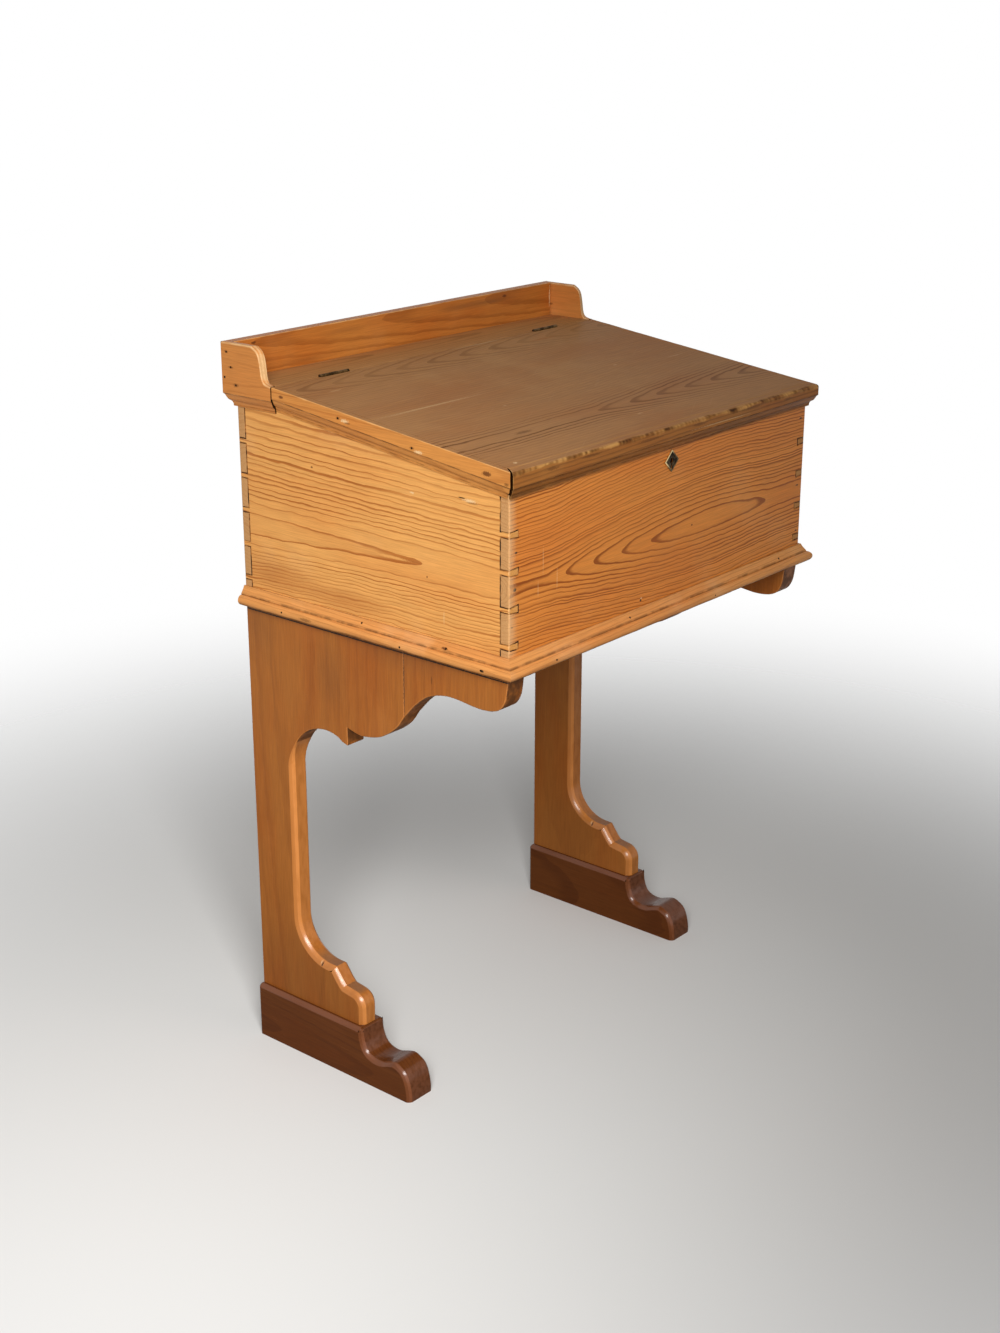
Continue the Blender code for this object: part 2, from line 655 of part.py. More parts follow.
def make_hinges(ledge, lid, axis):
    """Two butt hinges, each with a fixed leaf, a lid leaf and a loose pin."""
    spans = knuckle_spans()
    for side, word in ((-1, "left"), (1, "right")):
        middle = side * HINGE_SPACING / 2
        centre = (middle, HINGE_Y, HINGE_Z)
        make_leaf("hinge_fixed_leaf_" + word, middle, 1, spans[0::2], ledge, centre, None)
        make_leaf("hinge_lid_leaf_" + word, middle, -1, spans[1::2], lid, axis.location, axis)
        half = HINGE_LENGTH / 2
        pin = rod(HINGE_PIN_RADIUS, (middle - half, HINGE_Y, HINGE_Z), (middle + half, HINGE_Y, HINGE_Z))
        piece("hinge_pin_" + word, pin, STEEL, centre)


def keyhole_outline():
    """A round hole with a straight slot under it."""
    half = KEYHOLE_SLOT / 2
    turn = math.degrees(math.acos(half / KEYHOLE_RADIUS))
    hole = arc((0.0, KEY_Z), KEYHOLE_RADIUS, -turn, 180 + turn, 10)
    return [(half, KEY_Z - KEYHOLE_DEPTH), *hole, (-half, KEY_Z - KEYHOLE_DEPTH)]


def diamond(width, height):
    return [(-width / 2, KEY_Z), (0.0, KEY_Z - height / 2), (width / 2, KEY_Z), (0.0, KEY_Z + height / 2)]


def make_escutcheon(front):
    """A diamond plate round the keyhole, its middle sunk inside a raised rim, held by two nails."""
    face = FRONT - GAP
    plate = piece("escutcheon", across_y([diamond(ESCUTCHEON_WIDTH, ESCUTCHEON_HEIGHT)],
                                         face - ESCUTCHEON_THICKNESS, face), BRASS)
    shrink = 2 * math.sqrt(2) * ESCUTCHEON_RIM
    inner = diamond(ESCUTCHEON_WIDTH - shrink, ESCUTCHEON_HEIGHT - shrink)
    outside = face - ESCUTCHEON_THICKNESS
    floor = outside + ESCUTCHEON_SINK
    cut(plate, across_y([inner], outside - OVERCUT, floor))
    for side, word in ((-1, "left"), (1, "right")):
        point = (side * ESCUTCHEON_PIN_OFFSET, outside + ESCUTCHEON_SINK / 2, KEY_Z)
        fasten("escutcheon_pin_" + word, PIN_NAIL, point, (0, 1, 0), (plate, front))
    return plate


def make_lock(front, plate):
    """A lid lock on the inside of the front: plate, case, key pin and the bolt that catches the staple."""
    inside = FRONT_INSIDE + GAP
    back_face = inside + LOCK_PLATE_THICKNESS
    low = LOCK_TOP - LOCK_HEIGHT
    half = LOCK_PLATE_WIDTH / 2
    lock_plate = piece("lock_plate", block((-half, inside, low), (half, back_face, LOCK_TOP)), STEEL)
    case_front = back_face + GAP
    half = LOCK_CASE_WIDTH / 2
    wall = LOCK_WALL
    case = piece("lock_case", block((-half, case_front, low), (half, LOCK_BACK, LOCK_TOP)), STEEL)
    cut(case, block((-half + wall, case_front - OVERCUT, low + wall),
                    (half - wall, LOCK_BACK - wall, LOCK_TOP - wall)))
    rail_half = TONGUE_HEIGHT / 2
    rail_end = STAPLE_OFFSET - STAPLE_THICKNESS
    join(case, block((-half + wall / 2, BOLT_Y + BOLT_THICKNESS / 2 + GAP, BOLT_Z - rail_half),
                     (rail_end, LOCK_BACK - wall / 2, BOLT_Z + rail_half)))
    slot_half = STAPLE_THICKNESS / 2 + STAPLE_PLAY
    staple_back = BOLT_Y + BOLT_THICKNESS / 2 + STAPLE_PLAY + STAPLE_WALL
    cut(case, block((STAPLE_OFFSET - slot_half, case_front - OVERCUT, LOCK_TOP - 2 * wall),
                    (STAPLE_OFFSET + slot_half, staple_back + GAP, LOCK_TOP + OVERCUT)))
    through = across_y([keyhole_outline()], FRONT - OVERCUT, case_front - GAP / 2)
    for holed in (front, plate, lock_plate):
        cut(holed, through.copy())
    pin_start = (0.0, FRONT + ESCUTCHEON_THICKNESS, KEY_Z)
    pin_end = (0.0, LOCK_BACK, KEY_Z)
    cut(case, rod(KEY_PIN_RADIUS + GAP, (0.0, case_front, KEY_Z), (0.0, LOCK_BACK + OVERCUT, KEY_Z)))
    piece("lock_key_pin", rod(KEY_PIN_RADIUS, pin_start, pin_end), STEEL, pin_end)
    for side, word in ((-1, "left"), (1, "right")):
        point = (side * LOCK_SCREW_OFFSET, back_face, LOCK_TOP - LOCK_HEIGHT / 2)
        fasten("lock_screw_" + word, LOCK_SCREW, point, (0, -1, 0), (lock_plate, front))


def make_bolt():
    """The sliding bolt, drawn back: a bar with a talon for the key below and a tongue for the staple."""
    tip = STAPLE_OFFSET - STAPLE_THICKNESS / 2 - 2 * STAPLE_PLAY
    shoulder = tip - TONGUE_LENGTH
    tail = shoulder - BOLT_LENGTH
    low = BOLT_Z - BOLT_HEIGHT / 2
    high = BOLT_Z + BOLT_HEIGHT / 2
    half = TONGUE_HEIGHT / 2
    talon = (tail + shoulder) / 2
    outline = [(tail, low), (talon - TALON_WIDTH / 2, low), (talon - TALON_WIDTH / 2, low + TALON_DEPTH),
               (talon + TALON_WIDTH / 2, low + TALON_DEPTH), (talon + TALON_WIDTH / 2, low), (shoulder, low),
               (shoulder, BOLT_Z - half), (tip, BOLT_Z - half), (tip, BOLT_Z + half),
               (shoulder, BOLT_Z + half), (shoulder, high), (tail, high)]
    bar = across_y([outline], BOLT_Y - BOLT_THICKNESS / 2, BOLT_Y + BOLT_THICKNESS / 2)
    piece("lock_bolt", bar, BRASS, (shoulder, BOLT_Y, BOLT_Z))


def make_strike(lid, axis):
    """The plate under the lid, with the eyed staple that drops into the lock."""
    origin = axis.location
    front = BOLT_Y - STRIKE_DEPTH / 2
    half = STRIKE_WIDTH / 2
    top = -LID_THICKNESS - GAP
    flat = block((-half, front, top - STRIKE_THICKNESS), (half, front + STRIKE_DEPTH, top))
    strike = piece("lock_strike", sloped(flat), BRASS, origin, axis)
    eye_half = BOLT_THICKNESS / 2 + STAPLE_PLAY
    side = eye_half + STAPLE_WALL
    eye_low = BOLT_Z - TONGUE_HEIGHT / 2 - STAPLE_PLAY
    eye_high = BOLT_Z + TONGUE_HEIGHT / 2 + STAPLE_PLAY
    ceiling = lid_top(BOLT_Y) + top - STRIKE_THICKNESS / 2
    thick = STAPLE_THICKNESS / 2
    join(strike, block((STAPLE_OFFSET - thick, BOLT_Y - side, eye_low - STAPLE_WALL),
                       (STAPLE_OFFSET + thick, BOLT_Y + side, ceiling)))
    cut(strike, block((STAPLE_OFFSET - thick - OVERCUT, BOLT_Y - eye_half, eye_low),
                      (STAPLE_OFFSET + thick + OVERCUT, BOLT_Y + eye_half, eye_high)))
    up = Vector((0.0, -SLOPE, 1.0)).normalized()
    for across, word in ((-1, "left"), (1, "right")):
        under = lid_top(BOLT_Y) + top - STRIKE_THICKNESS
        point = (across * STRIKE_SCREW_OFFSET, BOLT_Y, under)
        fasten("strike_screw_" + word, STRIKE_SCREW, point, up, (strike, lid), axis)


def upright_outline():
    """The rear board of a leg as (y, z): a post that swells forward under the box and over the foot."""
    top = LEG_HEIGHT - GAP
    foot = FOOT_HEIGHT + GAP
    upper = arc((UPRIGHT_FRONT - ARCH_RADIUS, LEG_HEIGHT - ARCH_DROP - ARCH_RADIUS), ARCH_RADIUS, 0, 90, 8)
    spur = flowing([upper[-1], *((UPRIGHT_FRONT - forward, LEG_HEIGHT - drop) for forward, drop in SPUR)], 2)
    notch = (spur[-1][0], LEG_HEIGHT - NOTCH_DROP)
    joint = (BRACKET_JOINT + GAP / 2, LEG_HEIGHT - BRACKET_JOINT_DROP)
    swell = [(UPRIGHT_FRONT - forward, LEG_HEIGHT - drop) for forward, drop in REAR_LOBE]
    lobe = flowing([notch, *swell, joint])
    arch = arc((UPRIGHT_FRONT - LOWER_ARCH_RADIUS, LOWER_ARCH_HEIGHT + LOWER_ARCH_RADIUS), LOWER_ARCH_RADIUS,
               -90, 0, 8)
    shelf = (UPRIGHT_FRONT - LOWER_SHELF, LOWER_ARCH_HEIGHT)
    step = (shelf[0] - STEP_RUN, shelf[1] - STEP_FALL)
    toe = UPRIGHT_FRONT - LEG_FOOT_REACH
    nose = arc((toe + LEG_NOSE_RADIUS, LEG_NOSE_HEIGHT), LEG_NOSE_RADIUS, 180, 90, 5)
    hollow = (shelf[0] - STEP_HOLLOW[0] * STEP_RUN, shelf[1] - STEP_HOLLOW[1] * STEP_FALL)
    cove = flowing([step, hollow, shelf], 3)
    return [(BACK, foot), (BACK, top), (joint[0], top), *lobe[::-1], *spur[1:][::-1], *upper[::-1],
            *arch[::-1], *cove[::-1], *nose[::-1], (toe, foot)]


def bracket_outline():
    """The front board of a leg as (y, z), its lower edge flowing on from the upright's."""
    top = LEG_HEIGHT - GAP
    joint = BRACKET_JOINT - GAP / 2
    curve = flowing([(joint, LEG_HEIGHT - BRACKET_JOINT_DROP),
                     *((FRONT + behind, LEG_HEIGHT - drop) for behind, drop in BRACKET_CURVE)])
    return [(joint, top), *curve, (curve[-1][0], top)]


def foot_outline():
    """A foot as (y, z): flat under the leg, then a hollow and a rounded toe."""
    heel = BACK + FOOT_HEEL
    toe = heel - FOOT_LENGTH
    bends = [(toe + behind, up) for behind, up in TOE_CURVE]
    curve = flowing([(toe, 0.0), *bends, (toe + TOE_TOP, FOOT_HEIGHT)])
    return [(heel, 0.0), (heel, FOOT_HEIGHT), *curve[::-1]]


def make_leg(side, word, bottom_front, bottom_rear):
    """Upright, bracket and foot of one leg, the dowels between the boards and the screws from the box."""
    low, high = sorted((side * HALF, side * (HALF - LEG_THICKNESS)))
    middle = side * LEG_MIDDLE
    upright = piece("leg_upright_" + word, across_x([upright_outline()], low, high), LEG_WOOD)
    chamfer_top = LEG_HEIGHT - ARCH_DROP - ARCH_RADIUS + GAP
    chamfer_low = FOOT_HEIGHT + GAP
    bevel(upright, UPRIGHT_CHAMFER, lambda p: chamfer_low < p.z < chamfer_top and p.y < BACK - GAP)
    tenon_low = UPRIGHT_FRONT - LEG_FOOT_REACH + TENON_SHOULDER
    tenon_high = BACK - TENON_SHOULDER
    half = TENON_THICKNESS / 2
    join(upright, block((middle - half, tenon_low, FOOT_HEIGHT - TENON_DEPTH),
                        (middle + half, tenon_high, FOOT_HEIGHT + TENON_SHOULDER)))
    bracket = piece("leg_bracket_" + word, across_x([bracket_outline()], low, high), LEG_WOOD)
    bevel(bracket, BRACKET_CHAMFER, lambda p: p.z < LEG_HEIGHT - GAP and p.y < BRACKET_JOINT - GAP)
    foot = piece("foot_" + word, across_x([foot_outline()], middle - FOOT_WIDTH / 2, middle + FOOT_WIDTH / 2),
                 FOOT_WOOD)
    bevel(foot, FOOT_CHAMFER, lambda p: p.z > FOOT_CHAMFER)
    cut(foot, block((middle - half - GAP, tenon_low - GAP, FOOT_HEIGHT - TENON_DEPTH - GAP),
                    (middle + half + GAP, tenon_high + GAP, FOOT_HEIGHT + OVERCUT)))
    for drop, place in zip(DOWEL_DROPS, ("upper", "lower")):
        start = (middle, BRACKET_JOINT - DOWEL_LENGTH / 2, LEG_HEIGHT - drop)
        end = (middle, BRACKET_JOINT + DOWEL_LENGTH / 2, LEG_HEIGHT - drop)
        room = Vector((0.0, GAP, 0.0))
        for board in (upright, bracket):
            cut(board, rod(DOWEL_RADIUS + GAP, Vector(start) - room, Vector(end) + room))
        piece("bracket_dowel_" + place + "_" + word, rod(DOWEL_RADIUS, start, end), LEG_WOOD)
    screw_x = side * (HALF - (SIDE_THICKNESS + LEG_THICKNESS) / 2)
    front_point = (screw_x, FRONT + LEG_SCREW_FRONT, CARCASS_BASE)
    fasten("leg_screw_front_" + word, LEG_SCREW, front_point, (0, 0, -1), (bottom_front, bracket))
    rear_point = (screw_x, BACK - LEG_SCREW_REAR, CARCASS_BASE)
    fasten("leg_screw_rear_" + word, LEG_SCREW, rear_point, (0, 0, -1), (bottom_rear, upright))


def main():
    axis = bpy.data.objects.new("lid_axis", None)
    PARTS.objects.link(axis)
    axis.location = (0.0, HINGE_Y, HINGE_Z)
    front = make_carcass()
    bottom_front, bottom_rear = make_bottom()
    make_base_moulding()
    ledge = make_gallery()
    lid = make_lid(axis)
    make_hinges(ledge, lid, axis)
    plate = make_escutcheon(front)
    make_lock(front, plate)
    make_bolt()
    make_strike(lid, axis)
    for side, word in ((-1, "left"), (1, "right")):
        make_leg(side, word, bottom_front, bottom_rear)


main()
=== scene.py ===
# %% [markdown]
# A school desk in old pine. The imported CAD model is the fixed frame: it says where each board is and
# which body it rides on. The boards could be modelled afresh, but then they might drift from the
# frame. So this lesson keeps every piece in its place and gives it the look of a desk that has been
# leaned on, knocked and polished for a century.

# %% Load the frame
import json
import math

import bmesh
import bpy
from mathutils import Matrix, Vector, noise


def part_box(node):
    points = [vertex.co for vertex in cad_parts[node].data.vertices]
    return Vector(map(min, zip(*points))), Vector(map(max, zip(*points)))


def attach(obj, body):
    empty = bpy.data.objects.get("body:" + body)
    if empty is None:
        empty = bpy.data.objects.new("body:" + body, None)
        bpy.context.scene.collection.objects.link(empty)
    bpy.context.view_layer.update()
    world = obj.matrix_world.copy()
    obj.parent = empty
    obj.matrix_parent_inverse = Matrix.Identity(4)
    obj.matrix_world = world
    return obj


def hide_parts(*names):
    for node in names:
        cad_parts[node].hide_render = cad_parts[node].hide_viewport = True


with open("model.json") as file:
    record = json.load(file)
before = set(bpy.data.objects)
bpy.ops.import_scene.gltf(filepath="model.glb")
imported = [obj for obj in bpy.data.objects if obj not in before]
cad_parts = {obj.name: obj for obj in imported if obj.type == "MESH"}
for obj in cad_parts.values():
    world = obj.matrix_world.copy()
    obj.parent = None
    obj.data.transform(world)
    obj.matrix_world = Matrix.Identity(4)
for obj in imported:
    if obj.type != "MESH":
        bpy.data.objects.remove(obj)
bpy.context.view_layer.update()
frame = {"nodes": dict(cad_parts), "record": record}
print("nodes in the frame:", len(frame["nodes"]))

# %% [markdown]
# The camera stands at the left front corner, a little above the lid. It could be placed by eye, but
# its place and its two angles were worked out from the long edges of the box, so that the desk fills
# the frame as it does in the photograph.

# %% Camera
CAMERA_PLACE = (-1.9278, -1.5716, 1.3997)
CAMERA_YAW = 49.85
CAMERA_PITCH = 19.76
CAMERA_LENS = 52.69

scene = bpy.context.scene
camera = bpy.data.objects.new("camera", bpy.data.cameras.new("camera"))
scene.collection.objects.link(camera)
scene.camera = camera
camera.location = CAMERA_PLACE
camera.rotation_euler = (math.radians(90 - CAMERA_PITCH), 0.0, math.radians(-CAMERA_YAW))
camera.data.lens = CAMERA_LENS
scene.view_settings.view_transform = "Standard"
print("camera lens", camera.data.lens)

# %% [markdown]
# Materials below are node trees. A few small helpers keep them readable: one makes a node and feeds
# its inputs, and the others do arithmetic, stretch noise and mix colours. A value that is already a
# socket is linked, and anything else is set.

# %% Node helpers
def feed(tree, socket, value):
    """Set an input, or link it where the value is another node's output."""
    if isinstance(value, bpy.types.NodeSocket):
        tree.links.new(value, socket)
    else:
        socket.default_value = value


def node(tree, kind, inputs=None, **settings):
    """A shader node with its settings made and its inputs fed."""
    made = tree.nodes.new("ShaderNode" + kind)
    for name, value in settings.items():
        setattr(made, name, value)
    for name, value in (inputs or {}).items():
        feed(tree, made.inputs[name], value)
    return made


def calc(tree, operation, *values, clamp=False):
    """One step of arithmetic on numbers."""
    made = node(tree, "Math", dict(enumerate(values)), operation=operation, use_clamp=clamp)
    return made.outputs[0]


def calc_vector(tree, operation, *values):
    """One step of arithmetic on vectors."""
    made = node(tree, "VectorMath", dict(enumerate(values)), operation=operation)
    return made.outputs["Value" if operation == "LENGTH" else "Vector"]


def spread(tree, value, low, high, to_low=0.0, to_high=1.0):
    """Stretch a range smoothly onto another."""
    limits = {"From Min": low, "From Max": high, "To Min": to_low, "To Max": to_high}
    made = node(tree, "MapRange", {"Value": value, **limits}, interpolation_type="SMOOTHSTEP")
    return made.outputs["Result"]


def stretched_noise(tree, place, seed, stretch, detail, roughness=0.5):
    """Noise at a place that is stretched along each axis and shifted by a seed."""
    scaled = calc_vector(tree, "MULTIPLY_ADD", place, stretch, seed)
    look = {"Scale": 1.0, "Detail": detail, "Roughness": roughness}
    return node(tree, "TexNoise", {"Vector": scaled, **look}).outputs


def mix(tree, factor, first, second, blend="MIX"):
    """Mix two colours."""
    return node(tree, "Mix", {0: factor, 6: first, 7: second}, data_type="RGBA", blend_type=blend,
                clamp_factor=True).outputs[2]


def tint(code):
    """A colour written as six hex digits, as the linear numbers that Blender works in."""
    shares = [int(code[i:i + 2], 16) / 255 for i in (0, 2, 4)]
    linear = [s / 12.92 if s <= 0.04045 else ((s + 0.055) / 1.055) ** 2.4 for s in shares]
    return (*linear, 1.0)


def new_group(name, inputs, outputs):
    """An empty node group with named sockets, and its two end nodes."""
    tree = bpy.data.node_groups.new(name, "ShaderNodeTree")
    for title, kind in inputs:
        tree.interface.new_socket(title, in_out="INPUT", socket_type="NodeSocket" + kind)
    for title, kind in outputs:
        tree.interface.new_socket(title, in_out="OUTPUT", socket_type="NodeSocket" + kind)
    given = tree.nodes.new("NodeGroupInput").outputs
    return tree, given, tree.nodes.new("NodeGroupOutput").inputs


def place_group(tree, group, inputs):
    """A group used in a material, with its own values."""
    return node(tree, "Group", inputs, node_tree=group).outputs


def new_material(name):
    """A material with its node tree and its shader."""
    made = bpy.data.materials.new(name)
    made.use_nodes = True
    return made, made.node_tree, made.node_tree.nodes["Principled BSDF"]


print("helpers ready")

# %% [markdown]
# The floor is a plain pale disc that fades out into a white backdrop, so it keeps the shadow and has
# no edge. A big square would do from above, but its far edge would show from low angles. The camera
# sees the floor pale, while the light that it throws back onto the desk is that of a greyer floor, so
# that the legs and the underside stay as deep in colour as they are in a room.

# %% Floor
FLOOR_RADIUS = 5.0
FLOOR_SIDES = 128
FLOOR_TINT = "EFEEEB"
FLOOR_BOUNCE = "ACA8A0"
FLOOR_ROUGHNESS = 0.9
FLOOR_GLOSS = 0.1
FADE_START = 0.5
FADE_END = 2.0

bpy.ops.mesh.primitive_circle_add(vertices=FLOOR_SIDES, radius=FLOOR_RADIUS, fill_type="NGON")
floor = bpy.context.object
floor.name = "studio_floor"
floor_material, tree, surface = new_material("studio_floor")
by_camera = node(tree, "LightPath").outputs["Is Camera Ray"]
floor_colour = mix(tree, by_camera, tint(FLOOR_BOUNCE), tint(FLOOR_TINT))
tree.links.new(floor_colour, surface.inputs["Base Color"])
surface.inputs["Roughness"].default_value = FLOOR_ROUGHNESS
surface.inputs["Specular IOR Level"].default_value = FLOOR_GLOSS
reach = calc_vector(tree, "LENGTH", node(tree, "TexCoord").outputs["Object"])
fade = spread(tree, reach, FADE_START, FADE_END)
clear = node(tree, "BsdfTransparent")
faded = node(tree, "MixShader", {0: fade, 1: surface.outputs[0], 2: clear.outputs[0]})
tree.links.new(faded.outputs[0], tree.nodes["Material Output"].inputs["Surface"])
floor.data.materials.append(floor_material)
print("floor fades from", FADE_START, "to", FADE_END, "m")

# %% [markdown]
# The light is one soft lamp near the left front corner, as in the photograph, a weak one in front and
# a pale sky. A sky bright enough to whiten the backdrop would wash out the wood. So the backdrop is a
# second sky, which only the camera and polished surfaces see.

# %% Light
SKY_STRENGTH = 0.17
WHITE = (1.0, 1.0, 1.0, 1.0)
LAMPS = {"key_lamp": ((-1.63, -1.19, 1.49), 1.0, 14.1), "fill_lamp": ((0.4, -3.4, 1.8), 1.8, 1.8)}
LAMP_AIM = Vector((-0.77, -0.01, 0.61))
LAMP_SPREAD = 80

world = bpy.data.worlds.new("studio")
scene.world = world
world.use_nodes = True
tree = world.node_tree
sky = tree.nodes["Background"]
sky.inputs["Strength"].default_value = SKY_STRENGTH
sky.inputs["Color"].default_value = WHITE
backdrop = node(tree, "Background", {"Color": WHITE, "Strength": 1.0})
path = node(tree, "LightPath").outputs
seen = calc(tree, "MAXIMUM", path["Is Camera Ray"], path["Is Transmission Ray"])
seen = calc(tree, "MAXIMUM", seen, path["Is Glossy Ray"])
studio = node(tree, "MixShader", {0: seen, 1: sky.outputs[0], 2: backdrop.outputs[0]})
tree.links.new(studio.outputs[0], tree.nodes["World Output"].inputs["Surface"])

for name, (place, size, power) in LAMPS.items():
    lamp = bpy.data.objects.new(name, bpy.data.lights.new(name, "AREA"))
    scene.collection.objects.link(lamp)
    lamp.data.size = size
    lamp.data.energy = power
    lamp.data.spread = math.radians(LAMP_SPREAD)
    lamp.location = place
    lamp.rotation_euler = (LAMP_AIM - Vector(place)).to_track_quat("-Z", "Y").to_euler()
print("lamps:", len(LAMPS))

# %% [markdown]
# A pine board shows the log's yearly rings cut through by the saw. Lines could be painted on, but
# then the face, the edge and the end of a board wouldn't agree. So the lesson keeps the log itself:
# it measures how far a point is from the heart of the tree, and the face of a board gets its pointed
# arches and the end of the same board its curved bands. A trunk sways a little and gets thinner as it
# rises, so its rings do too. Place is (along the grain, through the board, across the board) in
# metres.

# %% Age of the wood
SWAYS = (((2.6, 7.0, 7.0), 2.0), ((28.0, 60.0, 60.0), 0.8))
SWAY_AXES = (1.0, 0.22, 1.0)
STRAIGHTENING = 0.03


def swayed(tree, given):
    """A place, shifted by a long and a short sway of the trunk."""
    bent = given["Place"]
    for stretch, share in SWAYS:
        cloud = stretched_noise(tree, given["Place"], given["Seed"], stretch, 2.0)["Color"]
        drift = calc_vector(tree, "SUBTRACT", cloud, (0.5, 0.5, 0.5))
        drift = calc_vector(tree, "MULTIPLY", drift, SWAY_AXES)
        amount = calc(tree, "MULTIPLY", given["Waviness"], share)
        scaled = node(tree, "VectorMath", {0: drift, "Scale": amount}, operation="SCALE")
        bent = calc_vector(tree, "ADD", bent, scaled.outputs["Vector"])
    return bent


def log_age(tree, given):
    """How far a place is from the heart of the log, and the age of its wood as a length."""
    from_heart = calc_vector(tree, "SUBTRACT", swayed(tree, given), given["Heart"])
    offset = node(tree, "SeparateXYZ", {0: from_heart}).outputs
    closer = calc(tree, "MULTIPLY", calc(tree, "MAXIMUM", offset["Z"], 0.0), given["Opening"])
    across = calc(tree, "MULTIPLY", offset["Z"], calc(tree, "SUBTRACT", 1.0, closer))
    outward = node(tree, "CombineXYZ", {1: offset["Y"], 2: across}).outputs[0]
    radius = calc_vector(tree, "LENGTH", outward)
    lengthwise = node(tree, "CombineXYZ", {0: offset["X"], 1: given["Blunt"]}).outputs[0]
    along = calc_vector(tree, "LENGTH", lengthwise)
    along = calc(tree, "SUBTRACT", along, calc(tree, "MULTIPLY", offset["X"], given["Lean"]))
    ahead = calc(tree, "GREATER_THAN", offset["X"], 0.0)
    limit = calc(tree, "SUBTRACT", given["Straight Ahead"], given["Straight Behind"])
    limit = calc(tree, "MULTIPLY_ADD", limit, ahead, given["Straight Behind"])
    along = calc(tree, "SMOOTH_MIN", along, limit, STRAIGHTENING)
    return radius, calc(tree, "MULTIPLY_ADD", along, given["Taper"], radius)


print("sways of the trunk:", len(SWAYS))

# %% [markdown]
# A young tree grows wide rings and slows down at some age, and no two years are alike. A Wave texture
# would space its lines evenly. So the age is turned into a count of rings, and the part of a ring
# that is left gives the distance to its end. Each ring ends in a hard dark summer line of about the
# same thickness, which is why lines crowd where rings are narrow. Some years and some patches are
# fainter.

# %% Yearly lines
YEAR_NOISE = 170.0
UNEVEN_YEARS = 0.006
UNEVEN_WITHIN = 0.012
LINE_CORE = 0.35
FAINTEST_YEAR = 0.65
PATCHES = ((3.0, 22.0, 22.0), 2.0)
PATCH_RANGE = (0.3, 0.6, 0.6, 1.0)


def yearly_lines(tree, given, age):
    """How far through its year a place is, and how strong the summer line is there."""
    slow = calc(tree, "SUBTRACT", age, given["Slow Age"])
    weather = node(tree, "TexNoise", {"W": age, "Scale": YEAR_NOISE, "Detail": 1.0},
                   noise_dimensions="1D").outputs[0]
    uneven = spread(tree, slow, 0.0, UNEVEN_WITHIN, 0.0, UNEVEN_YEARS)
    age = calc(tree, "MULTIPLY_ADD", calc(tree, "SUBTRACT", weather, 0.5), uneven, age)
    rings = calc(tree, "MULTIPLY_ADD", age, given["Rings per Metre"], given["Phase"])
    late = calc(tree, "MAXIMUM", slow, 0.0)
    rings = calc(tree, "MULTIPLY_ADD", late, given["More when Slow"], rings)
    is_slow = calc(tree, "GREATER_THAN", slow, 0.0)
    density = calc(tree, "MULTIPLY_ADD", is_slow, given["More when Slow"], given["Rings per Metre"])
    part = calc(tree, "FRACT", rings)
    to_summer = calc(tree, "DIVIDE", calc(tree, "SUBTRACT", 1.0, part), density)
    core = calc(tree, "MULTIPLY", given["Summer Line"], LINE_CORE)
    line = spread(tree, to_summer, core, given["Summer Line"], 1.0, 0.0)
    count = calc(tree, "FLOOR", rings)
    year = node(tree, "TexWhiteNoise", {"W": count}, noise_dimensions="1D").outputs["Value"]
    strength = calc(tree, "MULTIPLY_ADD", year, 1 - FAINTEST_YEAR, FAINTEST_YEAR)
    cloud = stretched_noise(tree, given["Place"], given["Seed"], *PATCHES)
    patch = spread(tree, cloud[0], *PATCH_RANGE)
    return part, calc(tree, "MULTIPLY", calc(tree, "MULTIPLY", line, strength), patch)


print("the faintest year keeps", FAINTEST_YEAR, "of its line")

# %% [markdown]
# A node group puts the log together, so that every wood can use it with its own values. In some
# boards the lines are strong near the heart and fade further out. Spring wood darkens a little
# through the year. Two more noises, drawn out along the grain, give the fine fibres and the soft
# mottling.

# %% Wood rings
NEAR_HEART = (0.028, 0.050)
SPRING_TONE = 0.20
FIBRES = ((26.0, 900.0, 900.0), 3.0, 0.65)
MOTTLES = ((3.5, 13.0, 13.0), 3.0, 0.55)


def wood_rings_group():
    """The log: summer lines, fine fibres and soft mottling at a place in a board."""
    values = ("Rings per Metre", "Slow Age", "More when Slow", "Taper", "Blunt", "Lean", "Opening",
              "Straight Behind", "Straight Ahead", "Fading", "Summer Line", "Waviness", "Phase")
    inputs = (("Place", "Vector"), ("Heart", "Vector"), *((value, "Float") for value in values),
              ("Seed", "Vector"))
    outputs = (("Latewood", "Float"), ("Fibre", "Float"), ("Mottle", "Float"))
    tree, given, result = new_group("wood_rings", inputs, outputs)
    radius, age = log_age(tree, given)
    part, line = yearly_lines(tree, given, age)
    faint = calc(tree, "SUBTRACT", 1.0, given["Fading"])
    line = calc(tree, "MULTIPLY", line, spread(tree, radius, *NEAR_HEART, 1.0, faint))
    tone = calc(tree, "MULTIPLY", calc(tree, "POWER", part, 2.0), SPRING_TONE)
    tree.links.new(calc(tree, "MAXIMUM", line, tone), result["Latewood"])
    for look, name in ((FIBRES, "Fibre"), (MOTTLES, "Mottle")):
        cloud = stretched_noise(tree, given["Place"], given["Seed"], *look)
        tree.links.new(cloud[0], result[name])
    return tree


WOOD_RINGS = wood_rings_group()
print("group", WOOD_RINGS.name)
